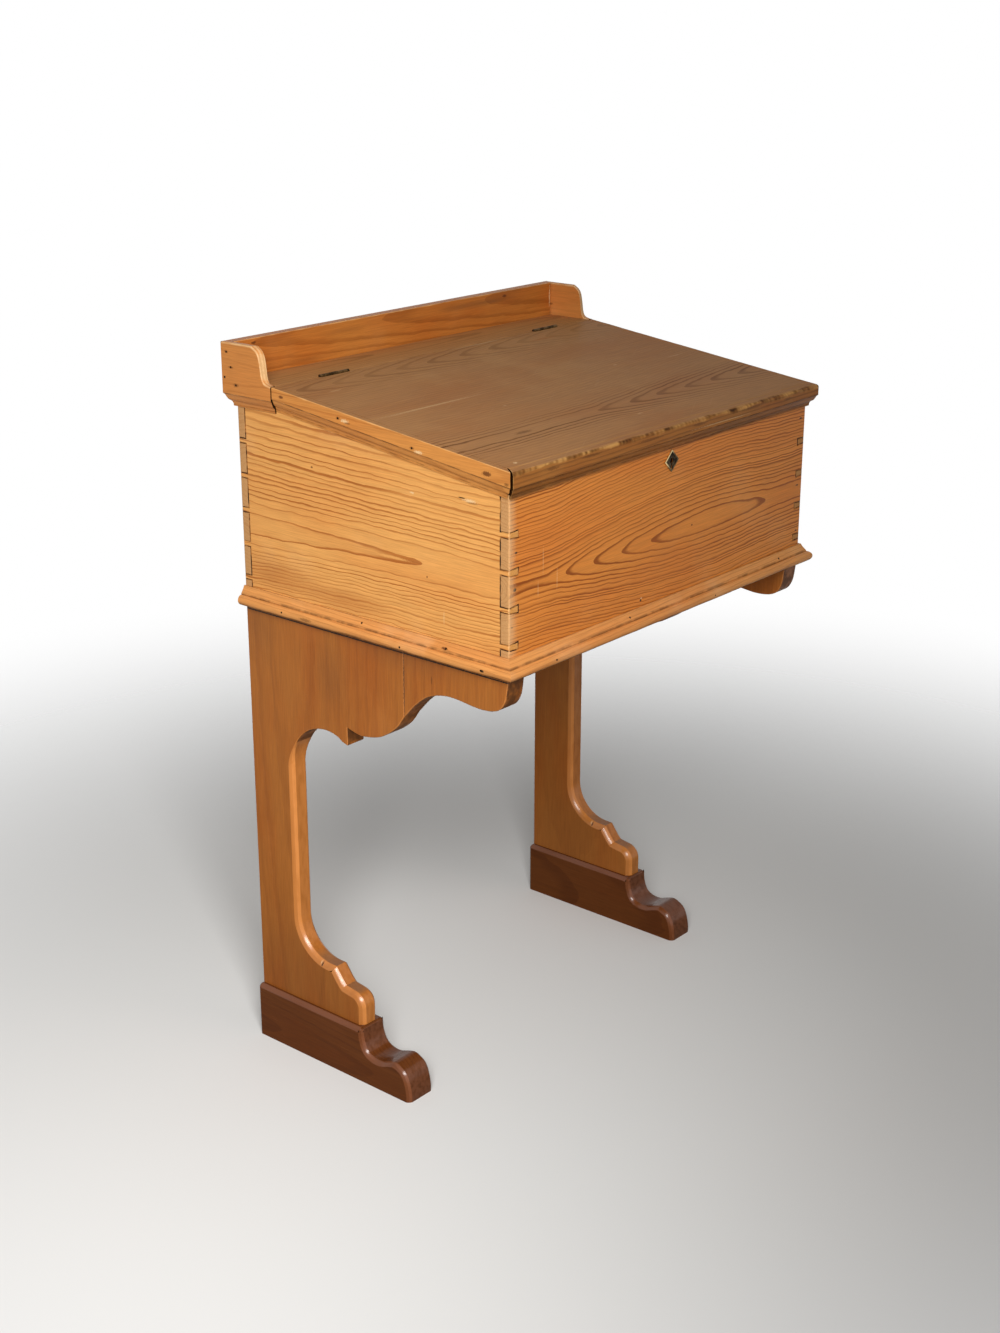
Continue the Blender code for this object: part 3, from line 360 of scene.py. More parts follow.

# %% [markdown]
# Age shows in four ways on every wooden piece: edges rubbed pale, dirt packed into joints, scuffed
# patches and thin scratches. They could be painted by hand on each board, but a group does it for all
# of them. The meshes carry two numbers, wear and grime, which say where hands and dirt reach. Wear
# also carries painted light on faces that look down or to the front, and grime also carries painted
# shade under the box and under mouldings. The group breaks them up with noise so that no edge is
# rubbed evenly. On the legs the chamfers are found by the way they face, and they are made pale both
# as wear and as a painted highlight. Each kind of noise below is its stretch, its detail and the
# range it is spread over.

# %% Age marks and painted light
RUBBED_EDGES = ((45.0, 160.0, 160.0), 4.0, (0.3, 0.62, 0.3, 1.0))
# Slanted chamfer faces are made pale both as wear and as a painted highlight.
RUBBED_AND_LIT_CHAMFERS = ((14.0, 40.0, 40.0), 3.0, (0.2, 0.65, 0.55, 1.0))
CLOTS = ((70.0, 70.0, 70.0), 3.0, (0.32, 0.62, 0.2, 1.0))
SCUFFS = ((11.0, 11.0, 11.0), 4.0, (0.52, 0.78))
SLANT_RANGE = (0.04, 0.22)
SCRATCH_ANGLES = (0.5, 1.9, 2.7)
SCRATCH_STRETCH = (11.0, 11.0, 420.0)
SCRATCH_RANGE = (0.79, 0.83)


def age_and_light_marks_group():
    """Masks of rubbed edges and painted light, dirt and painted shade, scratches and scuffs."""
    inputs = (("Place", "Vector"), ("Facing", "Float"), ("Chamfer Wear and Light", "Float"),
              ("Scratches", "Float"), ("Seed", "Vector"))
    outputs = (("Rubbed and Lit", "Float"), ("Dirt and Shade", "Float"), ("Scratch", "Float"), ("Scuff", "Float"))
    tree, given, result = new_group("age_marks_and_painted_light", inputs, outputs)

    def broken(stretch, detail, limits):
        cloud = stretched_noise(tree, given["Place"], given["Seed"], stretch, detail)
        return spread(tree, cloud[0], *limits)

    wear_and_light = node(tree, "Attribute", attribute_name="wear_and_light").outputs["Fac"]
    patches = broken(*RUBBED_EDGES)
    squared = calc(tree, "POWER", calc(tree, "ABSOLUTE", given["Facing"]), 2.0)
    slanted = calc(tree, "MULTIPLY", squared, calc(tree, "SUBTRACT", 1.0, squared))
    slanted = calc(tree, "MULTIPLY", spread(tree, slanted, *SLANT_RANGE), given["Chamfer Wear and Light"])
    slanted = calc(tree, "MULTIPLY", slanted, broken(*RUBBED_AND_LIT_CHAMFERS))
    rubbed_and_lit = calc(tree, "MULTIPLY_ADD", wear_and_light, patches, slanted, clamp=True)
    tree.links.new(rubbed_and_lit, result["Rubbed and Lit"])
    grime_and_shade = node(tree, "Attribute", attribute_name="grime_and_shade").outputs["Fac"]
    tree.links.new(calc(tree, "MULTIPLY", grime_and_shade, broken(*CLOTS)), result["Dirt and Shade"])
    total = None
    for angle in SCRATCH_ANGLES:
        turned = node(tree, "VectorRotate", {"Vector": given["Place"], "Angle": angle},
                      rotation_type="Y_AXIS").outputs[0]
        streak = stretched_noise(tree, turned, given["Seed"], SCRATCH_STRETCH, 0.0)[0]
        line = spread(tree, streak, *SCRATCH_RANGE)
        total = line if total is None else calc(tree, "MAXIMUM", total, line)
    tree.links.new(calc(tree, "MULTIPLY", total, given["Scratches"]), result["Scratch"])
    tree.links.new(broken(*SCUFFS), result["Scuff"])
    return tree


AGE_AND_LIGHT_MARKS = age_and_light_marks_group()
print("group", AGE_AND_LIGHT_MARKS.name)

# %% [markdown]
# Some marks belong to one spot: a knot, a hole left by a pulled nail, a flake or a long scratch. Each
# could be its own little mesh, but most have no depth to speak of. This group makes a soft ragged
# blot at a centre with a reach in each direction, so a mark is a line of numbers beside its board. A
# kind of spot is its colour, how much of it shows, its height in the bump, how much of it is solid
# and how ragged its edge is.

# %% Spots
# Grimy and hole spots also serve as painted shade and painted shadow lines on some boards.
SPOT_KINDS = {
    "hole_and_shadow_line": ("140B05", 0.96, -4.0, 0.5, 1.1), "knot": ("5B2E10", 0.85, 0.3, 0.5, 1.1),
    "stain": ("57310F", 0.55, 0.0, 0.4, 1.1), "pale": ("EFCF9E", 0.68, -0.8, 0.35, 2.0),
    "scratch": ("EBC790", 0.30, -0.6, 0.3, 1.1), "shade": ("9A4C10", 0.40, 0.0, 0.0, 0.3),
    "clear": ("E3A35A", 0.85, 0.0, 0.3, 0.9), "grimy_and_shaded": ("5E3A20", 0.28, 0.0, 0.0, 0.3),
    "worn": ("D9B080", 0.62, 0.0, 0.0, 0.5)}
SPOT_EDGE = 620.0


def spot_group():
    """A mask that is 1 in the middle of a spot and falls to 0 at its reach."""
    inputs = (("Place", "Vector"), ("Centre", "Vector"), ("Reach", "Vector"), ("Core", "Float"),
              ("Ragged", "Float"))
    tree, given, result = new_group("spot", inputs, (("Mask", "Float"),))
    away = calc_vector(tree, "SUBTRACT", given["Place"], given["Centre"])
    distance = calc_vector(tree, "LENGTH", calc_vector(tree, "DIVIDE", away, given["Reach"]))
    edge = node(tree, "TexNoise", {"Vector": given["Place"], "Scale": SPOT_EDGE, "Detail": 2.0})
    wobble = calc(tree, "SUBTRACT", edge.outputs[0], 0.5)
    wobble = calc(tree, "MULTIPLY", wobble, given["Ragged"])
    distance = calc(tree, "ADD", distance, wobble)
    tree.links.new(spread(tree, distance, given["Core"], 1.0, 1.0, 0.0), result["Mask"])
    return tree


SPOT = spot_group()
print("kinds of spot:", ", ".join(SPOT_KINDS))

# %% [markdown]
# Every wood on the desk is one recipe with its own values, and the recipe has four steps. The first
# finds the place in a board: the axes of the desk become along, through and across, whichever way the
# grain runs. A board could have its own texture coordinates, but the desk's own metres keep the log
# and the marks where they can be measured. The step also says which way a face looks.

# %% Place in a board
AXES = {"x": 0, "y": 1, "z": 2}
FAR = 10.0


def board_place(tree, grain, tilt):
    """A place as (along, through, across), and how much a face looks along and through."""
    coordinates = node(tree, "TexCoord").outputs
    split = node(tree, "SeparateXYZ", {0: coordinates["Object"]}).outputs
    along, through, across = (split[AXES[axis]] for axis in grain)
    if tilt:
        through = calc(tree, "MULTIPLY_ADD", across, -tilt, through)
    place = node(tree, "CombineXYZ", {0: along, 1: through, 2: across}).outputs[0]
    normal = node(tree, "SeparateXYZ", {0: coordinates["Normal"]}).outputs
    return place, normal[AXES[grain[0]]], normal[AXES[grain[1]]]


print("a place is kept in metres of the desk")

# %% [markdown]
# The second step is colour. Spring wood turns to the colour of the summer line by the rings, gets
# warmer where it is mottled and darker between its fibres. One colour ramp could do the same for a
# face, but a face that looks along the grain shows its dull open end. Scuffs, scratches and rubbed
# edges came later in the desk's life, so they lie on top, and the rubbed colour also carries the
# painted light.

# %% Colour of a wood
SCRATCH_COLOUR = tint("D9B487")
WARM_SHIFT = tint("F3DAC6")
SCRATCH_SHARE = 0.5
MOTTLE_RANGE = (0.38, 0.72)
FIBRE_SHADE = (0.25, 0.75, 0.84, 1.10)
END_LINES = 0.22


def figured_colour(tree, line, figure, is_end, colours, mottle):
    """The colour of a board with its rings, mottling, fibres and end grain."""
    spring, summer_line, end_grain = colours
    colour = mix(tree, line, spring, summer_line)
    warm = mix(tree, 1.0, colour, WARM_SHIFT, "MULTIPLY")
    colour = mix(tree, spread(tree, figure["Mottle"], *MOTTLE_RANGE, 0.0, mottle), colour, warm)
    shade = spread(tree, figure["Fibre"], *FIBRE_SHADE)
    shade_colour = node(tree, "CombineColor", {0: shade, 1: shade, 2: shade}).outputs[0]
    colour = mix(tree, 1.0, colour, shade_colour, "MULTIPLY")
    ends = mix(tree, calc(tree, "MULTIPLY", line, END_LINES), end_grain, summer_line)
    ends = mix(tree, 1.0, ends, shade_colour, "MULTIPLY")
    return mix(tree, is_end, colour, ends)


def aged_and_lit_colour(tree, colour, aged_and_lit, scuff, rubbed_and_lit):
    """A colour with scuffs, scratches and rubbed edges on it, the rubbed colour also as painted light.
    """
    colour = mix(tree, calc(tree, "MULTIPLY", aged_and_lit["Scuff"], scuff), colour, rubbed_and_lit)
    scratched = calc(tree, "MULTIPLY", aged_and_lit["Scratch"], SCRATCH_SHARE)
    colour = mix(tree, scratched, colour, SCRATCH_COLOUR)
    return mix(tree, aged_and_lit["Rubbed and Lit"], colour, rubbed_and_lit)


print("end grain keeps", END_LINES, "of its lines")

# %% [markdown]
# The third step sets single marks. Each is a spot that changes the colour and the height of the
# surface, and it is kept to the broad faces of a board, because a spot that reached through the board
# would show on its edges too. Marks are (kind, along, across, reach along, reach across) in
# millimetres.

# %% Marks on a board
BROAD_FACING = (0.45, 0.8)


def add_marks(tree, colour, height, place, broad_facing, marks):
    """A colour and a height with the marks of a board in them."""
    on_face = spread(tree, calc(tree, "ABSOLUTE", broad_facing), *BROAD_FACING)
    for kind, u, v, reach_u, reach_v in marks:
        code, amount, rise, core, ragged = SPOT_KINDS[kind]
        mask = place_group(tree, SPOT, {
            "Place": place, "Centre": (u / 1000, 0.0, v / 1000), "Core": core, "Ragged": ragged,
            "Reach": (reach_u / 1000, FAR, reach_v / 1000)})["Mask"]
        mask = calc(tree, "MULTIPLY", mask, on_face)
        colour = mix(tree, calc(tree, "MULTIPLY", mask, amount), colour, tint(code))
        height = calc(tree, "MULTIPLY_ADD", mask, rise, height)
    return colour, height


print("kinds of mark to set:", len(SPOT_KINDS))

# %% [markdown]
# The last step is the recipe itself: which way the grain runs, where the heart of the log was, how
# wide the rings are, and the colours of spring wood, summer line, end grain, rubbed edge and dirt.
# Where wear and grime hold painted light and shade, the rubbed colour is painted light and the dirt
# colour painted shade. The rings and fibres also feed the bump, because summer wood stands a little
# proud once a board has been scrubbed for years. Real displacement would need far finer meshes for so
# shallow a relief.
# Polished woods get a thin coat that shines where hands have rubbed them.

# %% Wood recipe
END_FACING = (0.80, 0.95)
RING_HEIGHT = 0.5
SCRATCH_HEIGHT = -1.2
FIBRE_DEPTH = 0.00012
BUMP_STRENGTH = 0.55
FIBRE_MATT = 0.16
DIRT_MATT = 0.3
END_MATT = 0.15
SHINE_ROUGHNESS = 0.2
SEED_STEPS = (1.0, 1.7, 2.9)


def wood(name, grain, heart, colours, ring=0.005, slow=(1.0, 0.005), taper=0.03, blunt=0.03,
         lean=0.0, opening=0.0, straight=(FAR, FAR), fading=0.0, summer=0.0018, wave=0.006,
         phase=0.0, seed=0.0, contrast=1.0, roughness=0.45, gloss=0.15, scratches=0.0, scuff=0.08,
         chamfer_wear_and_light=0.0, shine=0.0, tilt=0.0, mottle=0.5, marks=(), beside=None):
    """A wood material. Grain names the axes along, through and across the board.

    Beside is the heart, phase and strength of a second row of arches in the same board.
    """
    *wood_colours, rubbed_and_lit, dirt_and_shade = (tint(code) for code in colours)
    made, tree, shader = new_material(name)
    place, end_facing, broad_facing = board_place(tree, grain, tilt)
    shift = tuple(seed * step for step in SEED_STEPS)
    log = {"Place": place, "Heart": heart, "Rings per Metre": 1 / ring, "Slow Age": slow[0],
           "More when Slow": 1 / slow[1] - 1 / ring, "Taper": taper, "Blunt": blunt, "Lean": lean,
           "Opening": opening, "Straight Behind": straight[0], "Straight Ahead": straight[1],
           "Fading": fading, "Summer Line": summer, "Waviness": wave, "Phase": phase, "Seed": shift}
    figure = place_group(tree, WOOD_RINGS, log)
    aged_and_lit = place_group(tree, AGE_AND_LIGHT_MARKS, {"Place": place, "Facing": broad_facing, "Seed": shift,
                                         "Chamfer Wear and Light": chamfer_wear_and_light, "Scratches": scratches})
    is_end = spread(tree, calc(tree, "ABSOLUTE", end_facing), *END_FACING)
    line = calc(tree, "MULTIPLY", figure["Latewood"], contrast)
    if beside:
        log.update({"Heart": beside[0], "Phase": beside[1], "Straight Behind": FAR, "Fading": 1.0})
        second = place_group(tree, WOOD_RINGS, log)
        line = calc(tree, "MAXIMUM", line, calc(tree, "MULTIPLY", second["Latewood"], beside[2]))
    colour = figured_colour(tree, line, figure, is_end, wood_colours, mottle)
    colour = aged_and_lit_colour(tree, colour, aged_and_lit, scuff, rubbed_and_lit)
    height = calc(tree, "MULTIPLY_ADD", figure["Latewood"], RING_HEIGHT, figure["Fibre"])
    height = calc(tree, "MULTIPLY_ADD", aged_and_lit["Scratch"], SCRATCH_HEIGHT, height)
    colour, height = add_marks(tree, colour, height, place, broad_facing, marks)
    colour = mix(tree, aged_and_lit["Dirt and Shade"], colour, dirt_and_shade)
    tree.links.new(colour, shader.inputs["Base Color"])
    matt = calc(tree, "MULTIPLY_ADD", figure["Fibre"], FIBRE_MATT, roughness - FIBRE_MATT / 2)
    matt = calc(tree, "MULTIPLY_ADD", aged_and_lit["Dirt and Shade"], DIRT_MATT, matt)
    matt = calc(tree, "MULTIPLY_ADD", is_end, END_MATT, matt, clamp=True)
    tree.links.new(matt, shader.inputs["Roughness"])
    shader.inputs["Specular IOR Level"].default_value = gloss
    if shine:
        coat = calc(tree, "MULTIPLY", aged_and_lit["Rubbed and Lit"], shine)
        tree.links.new(coat, shader.inputs["Coat Weight"])
        shader.inputs["Coat Roughness"].default_value = SHINE_ROUGHNESS
    bump = node(tree, "Bump", {"Height": height, "Distance": FIBRE_DEPTH,
                               "Strength": BUMP_STRENGTH})
    tree.links.new(bump.outputs[0], shader.inputs["Normal"])
    return made


print("wood recipe ready")

# %% [markdown]
# The first wood is hardly wood at all: it is what shows in an open joint, where a century of dust and
# wax has turned the pine nearly black. It is also painted shade: the dark of the keyhole behind the
# key plate and of hidden edges deep in gaps. A plain black would look like a hole, so it keeps the
# grain.

# %% Dirt in the joints and painted shade
JOINT_AND_SHADE_COLOURS = ("2A180B", "1C0F06", "2A180B", "4A2C15", "120A04")
JOINT_DIRT_AND_SHADE = wood("pine_in_joint_and_shade", "yxz", (0.5, 0.0, 0.5), JOINT_AND_SHADE_COLOURS, roughness=0.9, gloss=0.0)
print("dirt for open joints:", JOINT_DIRT_AND_SHADE.name)

# %% [markdown]
# The box is five kinds of pine board. The left side was sawn near the outside of its log, so one long
# arch points to the front between crowded lines, and the front was sawn across a bend in the log,
# which closes its rings into ellipses. One wood for all would be quicker, but each board would then
# repeat its neighbour's figure. The inside was never waxed and is paler and matt. The faces that the
# photograph doesn't show are given logs of the same kind.

# %% Woods of the box
BOX_COLOURS = ("E3A35A", "A0561A", "D0924E", "F2CB98", "24130A")
FAR_COLOURS = ("D0924A", "985218", "B47C44", "E8BC84", "24130A")
FRONT_COLOURS = ("D68538", "8E4709", "C2905C", "EDB97C", "24130A")
RAW_COLOURS = ("C99F6C", "A87642", "A98558", "DDBB8C", "4A3320")
SIDE_MARKS = (
    ("pale", -162, 828, 12, 2.6), ("hole_and_shadow_line", -150, 830, 8, 0.9), ("stain", -165, 826, 11, 1.2),
    ("knot", 92, 827, 2.4, 1.6), ("knot", -95, 725, 1.5, 1.5), ("pale", -73, 823, 4, 1.4),
    ("scratch", -121, 680, 1.4, 11), ("shade", 165, 676, 110, 32), ("shade", 40, 668, 120, 22),
    ("clear", -42, 738.5, 34, 2.4))
FRONT_MARKS = (
    ("knot", 50, 734, 2.2, 1.6), ("hole_and_shadow_line", -56, 660, 2.6, 1.7), ("pale", -55, 662.5, 1.8, 1.0),
    ("hole_and_shadow_line", -298, 775.5, 3.2, 1.8), ("hole_and_shadow_line", -300, 732, 3.8, 2.6), ("hole_and_shadow_line", -297, 712, 3.0, 1.4),
    ("hole_and_shadow_line", -305, 688, 2.2, 1.2), ("scratch", -249, 757, 0.9, 22),
    ("scratch", -223, 728, 0.9, 18), ("scratch", -258, 722, 0.8, 14), ("hole_and_shadow_line", 299, 829, 4, 1.4),
    ("hole_and_shadow_line", 299, 757, 3, 1.2), ("hole_and_shadow_line", 298, 737, 4, 1.2), ("stain", 298, 800, 8, 4),
    ("hole_and_shadow_line", 301, 673, 3, 1.2), ("worn", -311, 800, 17, 120), ("worn", -311, 690, 19, 110))

side_wood = wood("pine_side", "yxz", (0.6, -0.292, 0.738), BOX_COLOURS, ring=0.0097,
                 slow=(0.0455, 0.0043), taper=0.02, opening=2.2, wave=0.008, phase=0.738, seed=3.1,
                 summer=0.0016, contrast=0.9, marks=SIDE_MARKS)
far_side_wood = wood("pine_far_side", "yxz", (-0.5, 0.286, 0.72), FAR_COLOURS, ring=0.0080,
                     slow=(0.05, 0.0045), taper=0.03, opening=1.5, wave=0.006, seed=8.4)
front_wood = wood("pine_front", "xyz", (0.070, -0.2055, 0.731), FRONT_COLOURS, ring=0.0061,
                  slow=(0.056, 0.0044), taper=0.1196, blunt=0.14, lean=0.1, straight=(0.362, 0.198),
                  wave=0.0065, phase=0.869, seed=5.7, contrast=1.2, marks=FRONT_MARKS)
back_wood = wood("pine_back", "xyz", (-0.10, 0.199, 0.80), FRONT_COLOURS, ring=0.0065,
                 slow=(0.05, 0.0052), taper=0.06, wave=0.007, seed=1.9)
bottom_wood = wood("pine_bottom", "xzy", (0.9, 0.60, 0.05), RAW_COLOURS, ring=0.006, taper=0.05,
                   seed=2.3)
raw_wood = wood("pine_raw", "xyz", (0.7, -0.15, 0.78), RAW_COLOURS, ring=0.006, taper=0.05,
                seed=5.2, roughness=0.6)
raw_side_wood = wood("pine_raw_side", "yxz", (0.7, 0.20, 0.78), RAW_COLOURS, ring=0.006,
                     taper=0.05, seed=6.2, roughness=0.6)
print("woods of the box made")

# %% [markdown]
# From here on the pieces themselves are made, each as a bmesh, which is Blender's open table of
# points, edges and faces. One helper turns a worked mesh into a piece of the desk. It smooths the
# shading but keeps hard edges hard, lets the piece ride its body and says which of the frame's nodes
# it replaces.

# %% Finishing a piece
SMOOTH_ANGLE = 40

replaced_nodes = set()


def finish_mesh(name, work, materials, body, replaced):
    """Turn a worked mesh into a piece of the desk."""
    mesh = bpy.data.meshes.new(name)
    work.to_mesh(mesh)
    work.free()
    made = bpy.data.objects.new(name, mesh)
    scene.collection.objects.link(made)
    for material in materials:
        mesh.materials.append(material)
    mesh.shade_smooth()
    mesh.set_sharp_from_angle(angle=math.radians(SMOOTH_ANGLE))
    even = made.modifiers.new("flat_faces", "WEIGHTED_NORMAL")
    even.keep_sharp = True
    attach(made, body)
    if replaced:
        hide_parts(*replaced)
        replaced_nodes.update(replaced)
    return made


print("edges sharper than", SMOOTH_ANGLE, "degrees stay hard")

# %% [markdown]
# The boards are right in the frame, but their edges are razor sharp. A Bevel modifier could ease
# them, but it wouldn't say which edge is which. So each board is copied, welded into clean faces and
# given a small rounding on its long edges. The rounding on an outside corner is marked as wear and
# the rounding beside a joint as grime, which is what draws the dark lines round the dovetails.

# %% Worn boards
BOARD_ROUNDING = 0.0008
CORNER_ROUNDING = 0.0018
CORNER_WEAR = 0.25
ROUNDING_STEPS = 2
ROUND_PROFILE = 0.5
SHORTEST_ROUNDED = 0.004
FLAT_ANGLE = 1
SHARP_ANGLE = 35
WELD = 1e-5
SAME_PLACE = 0.0006

box_low = Vector((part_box("box_side_left")[0].x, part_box("box_front")[0].y,
                  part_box("bottom_board_front")[0].z))
box_high = Vector((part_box("box_side_right")[1].x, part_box("box_back")[1].y,
                   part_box("hinge_ledge")[1].z))


def at_end(place, low, high):
    """Whether a place is at one end of the box or the other."""
    return min(abs(place - low), abs(place - high)) < SAME_PLACE


def at_corner(edge):
    """Whether an edge runs down one of the box's four outside corners."""
    return all(at_end(v.co.x, box_low.x, box_high.x) and at_end(v.co.y, box_low.y, box_high.y)
               for v in edge.verts)


def worn_board(node_name, materials, body, pick=None, grime_and_shade=1.0):
    """A copy of a board with its long edges eased. Pick says which material a face takes."""
    work = bmesh.new()
    work.from_mesh(frame["nodes"][node_name].data)
    bmesh.ops.remove_doubles(work, verts=work.verts, dist=WELD)
    bmesh.ops.dissolve_limit(work, angle_limit=math.radians(FLAT_ANGLE), verts=work.verts,
                             edges=work.edges)
    wear_and_light_layer = work.faces.layers.float.new("wear_and_light")
    grime_and_shade_layer = work.faces.layers.float.new("grime_and_shade")
    for corner, size, layer, amount in ((True, CORNER_ROUNDING, wear_and_light_layer, CORNER_WEAR),
                                        (False, BOARD_ROUNDING, grime_and_shade_layer, grime_and_shade)):
        edges = [e for e in work.edges if e.is_manifold and e.calc_length() > SHORTEST_ROUNDED
                 and e.calc_face_angle() > math.radians(SHARP_ANGLE) and at_corner(e) == corner]
        if edges:
            eased = bmesh.ops.bevel(work, geom=edges, offset=size, segments=ROUNDING_STEPS,
                                    profile=ROUND_PROFILE, affect="EDGES", clamp_overlap=False)
            for face in eased["faces"]:
                face[layer] = amount
    if pick:
        work.normal_update()
        for face in work.faces:
            face.material_index = pick(face)
    finish_mesh(node_name + "_worn", work, materials, body, [node_name])


print("boards are eased by", BOARD_ROUNDING * 1000, "mm")

# %% [markdown]
# The boards of the box were waxed outside and left raw inside. Two thin boards back to back would
# give the two finishes, but a board is one piece, so each face picks its material by where it is and
# the way it looks. Round the keyhole the wood behind the plate is painted black, as the shade in the
# keyhole.

# %% Boards of the box
INSIDE_X = 0.010
INSIDE_Y = 0.008
KEYHOLE_REACH = 0.0105
BOTTOM_GRIME = 0.5

box_middle = (box_low + box_high) / 2
plate_low, plate_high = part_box("escutcheon")
plate_middle = (plate_low + plate_high) / 2


def faces_inward(face):
    """1 for a face that looks into the box, otherwise 0."""
    centre = face.calc_center_median()
    inward = Vector((box_middle.x - centre.x, box_middle.y - centre.y, 0.0))
    return int(face.normal.dot(inward) > 0
               and box_low.x + INSIDE_X < centre.x < box_high.x - INSIDE_X
               and box_low.y + INSIDE_Y < centre.y < box_high.y - INSIDE_Y)


def front_face(face):
    """As faces_inward, and 2 in and round the keyhole, behind its plate, painted dark as shade."""
    away = [vert.co - plate_middle for vert in face.verts]
    furthest = max(math.hypot(step.x, step.z) for step in away)
    return 2 if furthest < KEYHOLE_REACH else faces_inward(face)


worn_board("box_front", [front_wood, raw_wood, JOINT_DIRT_AND_SHADE], "desk", front_face)
for node_name, outside, inside in (("box_back", back_wood, raw_wood),
                                   ("box_side_left", side_wood, raw_side_wood),
                                   ("box_side_right", far_side_wood, raw_side_wood)):
    worn_board(node_name, [outside, inside], "desk", faces_inward)
for node_name in ("bottom_board_front", "bottom_board_rear"):
    worn_board(node_name, [bottom_wood], "desk", grime_and_shade=BOTTOM_GRIME)
print("boards of the box:", len(replaced_nodes))

# %% [markdown]
# The top of the desk was stained dark and has gone dull and greyish with use. The lid's board shows a
# row of nested arches near its front edge, a fainter row near its rear and a few pale scratches.
# Arches could be drawn one by one, but two hearts under the same board give both rows. The log lies
# along the lid's slope, which is read from the frame. The ledge behind the lid is fixed and carries
# the hinges.

# %% Woods of the top
LEDGE_COLOURS = ("BC8550", "825730", "8A6A48", "C89A60", "2B1A0E")
LID_COLOURS = ("B07D4C", "6E421B", "8A6A48", "C89A60", "2B1A0E")
UNDER_COLOURS = ("B98A58", "96683A", "A98558", "DDBB8C", "4A3320")
LID_MARKS = (
    ("stain", -191, -143, 20, 4.5), ("pale", -288, -211, 4, 2.4), ("scratch", -210, -12, 110, 3.2),
    ("scratch", 147, -22, 6, 2.0), ("scratch", -6, -176, 7, 2.0), ("scratch", 60, 145, 66, 1.8),
    ("scratch", -262, 96, 14, 1.6), ("scratch", 262, -38, 24, 1.2), ("shade", 165, 116, 46, 6),
    ("scratch", -128, -61, 5, 1.3))
LID_HEART_DEPTH = 0.020
REAR_ARCHES = 0.120
REAR_DEPTH = 0.024
REAR_PHASE = 0.51
REAR_STRENGTH = 0.55

hinge_y, hinge_z = next(joint["pos_m"][1:] for joint in frame["record"]["behaviour"]["joints"]
                        if joint["name"] == "lid_hinge")
front_y = box_low.y
lid_slope = (hinge_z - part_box("lid_edge_front")[1].z) / (hinge_y - front_y)
lid_plane = hinge_z - lid_slope * hinge_y

rear_heart = (0.6, lid_plane - REAR_DEPTH, REAR_ARCHES)
lid_wood = wood("pine_lid", "xzy", (0.6, lid_plane - LID_HEART_DEPTH, -0.139), LID_COLOURS,
                ring=0.0055, taper=0.092, straight=(0.645, FAR), fading=0.76, summer=0.0024,
                wave=0.008, phase=0.73, seed=7.3, roughness=0.5, gloss=0.03, scratches=0.08,
                scuff=0.22, mottle=0.6, tilt=lid_slope, marks=LID_MARKS,
                beside=(rear_heart, REAR_PHASE, REAR_STRENGTH))
lid_under_wood = wood("pine_lid_under", "xzy", (0.6, 0.868, -0.05), UNDER_COLOURS, ring=0.0065,
                      taper=0.05, seed=7.9, roughness=0.6, tilt=lid_slope)
ledge_wood = wood("pine_ledge", "xzy", (-0.9, 0.89, 0.20), LEDGE_COLOURS, ring=0.006, wave=0.008,
                  seed=4.4, contrast=0.5, roughness=0.5, gloss=0.03, scratches=0.06)
print("lid slopes", round(math.degrees(math.atan(lid_slope)), 2), "degrees")

# %% [markdown]
# The lid's board and the ledge are eased like the boards of the box. The lid's underside was never
# stained, and its edges are buried behind the lips, where they take the dark joint wood as painted
# shade. So its faces pick between three finishes by the way they look.

# %% Lid and ledge
TOP_FACING = 0.5
TOP_GRIME = 0.3


def lid_face(face):
    """0 for the lid's top, 1 for its underside and 2 for its hidden edges."""
    if face.normal.z > TOP_FACING:
        return 0
    return 1 if face.normal.z < -TOP_FACING else 2


worn_board("hinge_ledge", [ledge_wood], "desk", grime_and_shade=TOP_GRIME)
worn_board("lid_board", [lid_wood, lid_under_wood, JOINT_DIRT_AND_SHADE], "lid", lid_face,
           TOP_GRIME)
print("boards eased:", len(replaced_nodes))

# %% [markdown]
# The lips, mouldings and gallery are lengths of wood with a shaped section, mitred where they meet.
# They could be copied from the frame like the boards, but their hollows are coarse there and their
# edges are the most knocked part of the desk. So each is made again from its section. A section is a
# list of corners, and a corner is (out, up, easing, dirt), with dirt below 0 for wear. Dirt and wear
# also carry painted shade and painted light at a few corners.

# %% Sections
EASE_STEPS = 4
EASE_REACH = 0.45
FULL_WEAR = 0.0015


def ease(before, corner, after, size):
    """Round a corner, between points that lie a size away from it along its two sides."""
    towards = Vector(before) - Vector(corner)
    away = Vector(after) - Vector(corner)
    first = Vector(corner) + towards.normalized() * min(size, towards.length * EASE_REACH)
    last = Vector(corner) + away.normalized() * min(size, away.length * EASE_REACH)
    steps = [i / EASE_STEPS for i in range(EASE_STEPS + 1)]
    return [(first * (1 - t) ** 2 + Vector(corner) * 2 * t * (1 - t) + last * t ** 2,
             math.sin(math.pi * t)) for t in steps]


def section_points(corners):
    """Points round a section with their wear and dirt, which also hold painted light and shade."""
    points = []
    for index, (out, up, size, dirt_and_shade) in enumerate(corners):
        if size:
            before = corners[index - 1][:2]
            after = corners[(index + 1) % len(corners)][:2]
            points += [(place, rub * min(1.0, size / FULL_WEAR) * (1 - dirt_and_shade), dirt_and_shade * rub)
                       for place, rub in ease(before, (out, up), after, size)]
        else:
            points.append((Vector((out, up)), max(0.0, -dirt_and_shade), max(0.0, dirt_and_shade)))
    return points


def plain(points, dirt_and_shade=0.0):
    """Corners with no easing."""
    return [(out, up, 0.0, dirt_and_shade) for out, up in points]


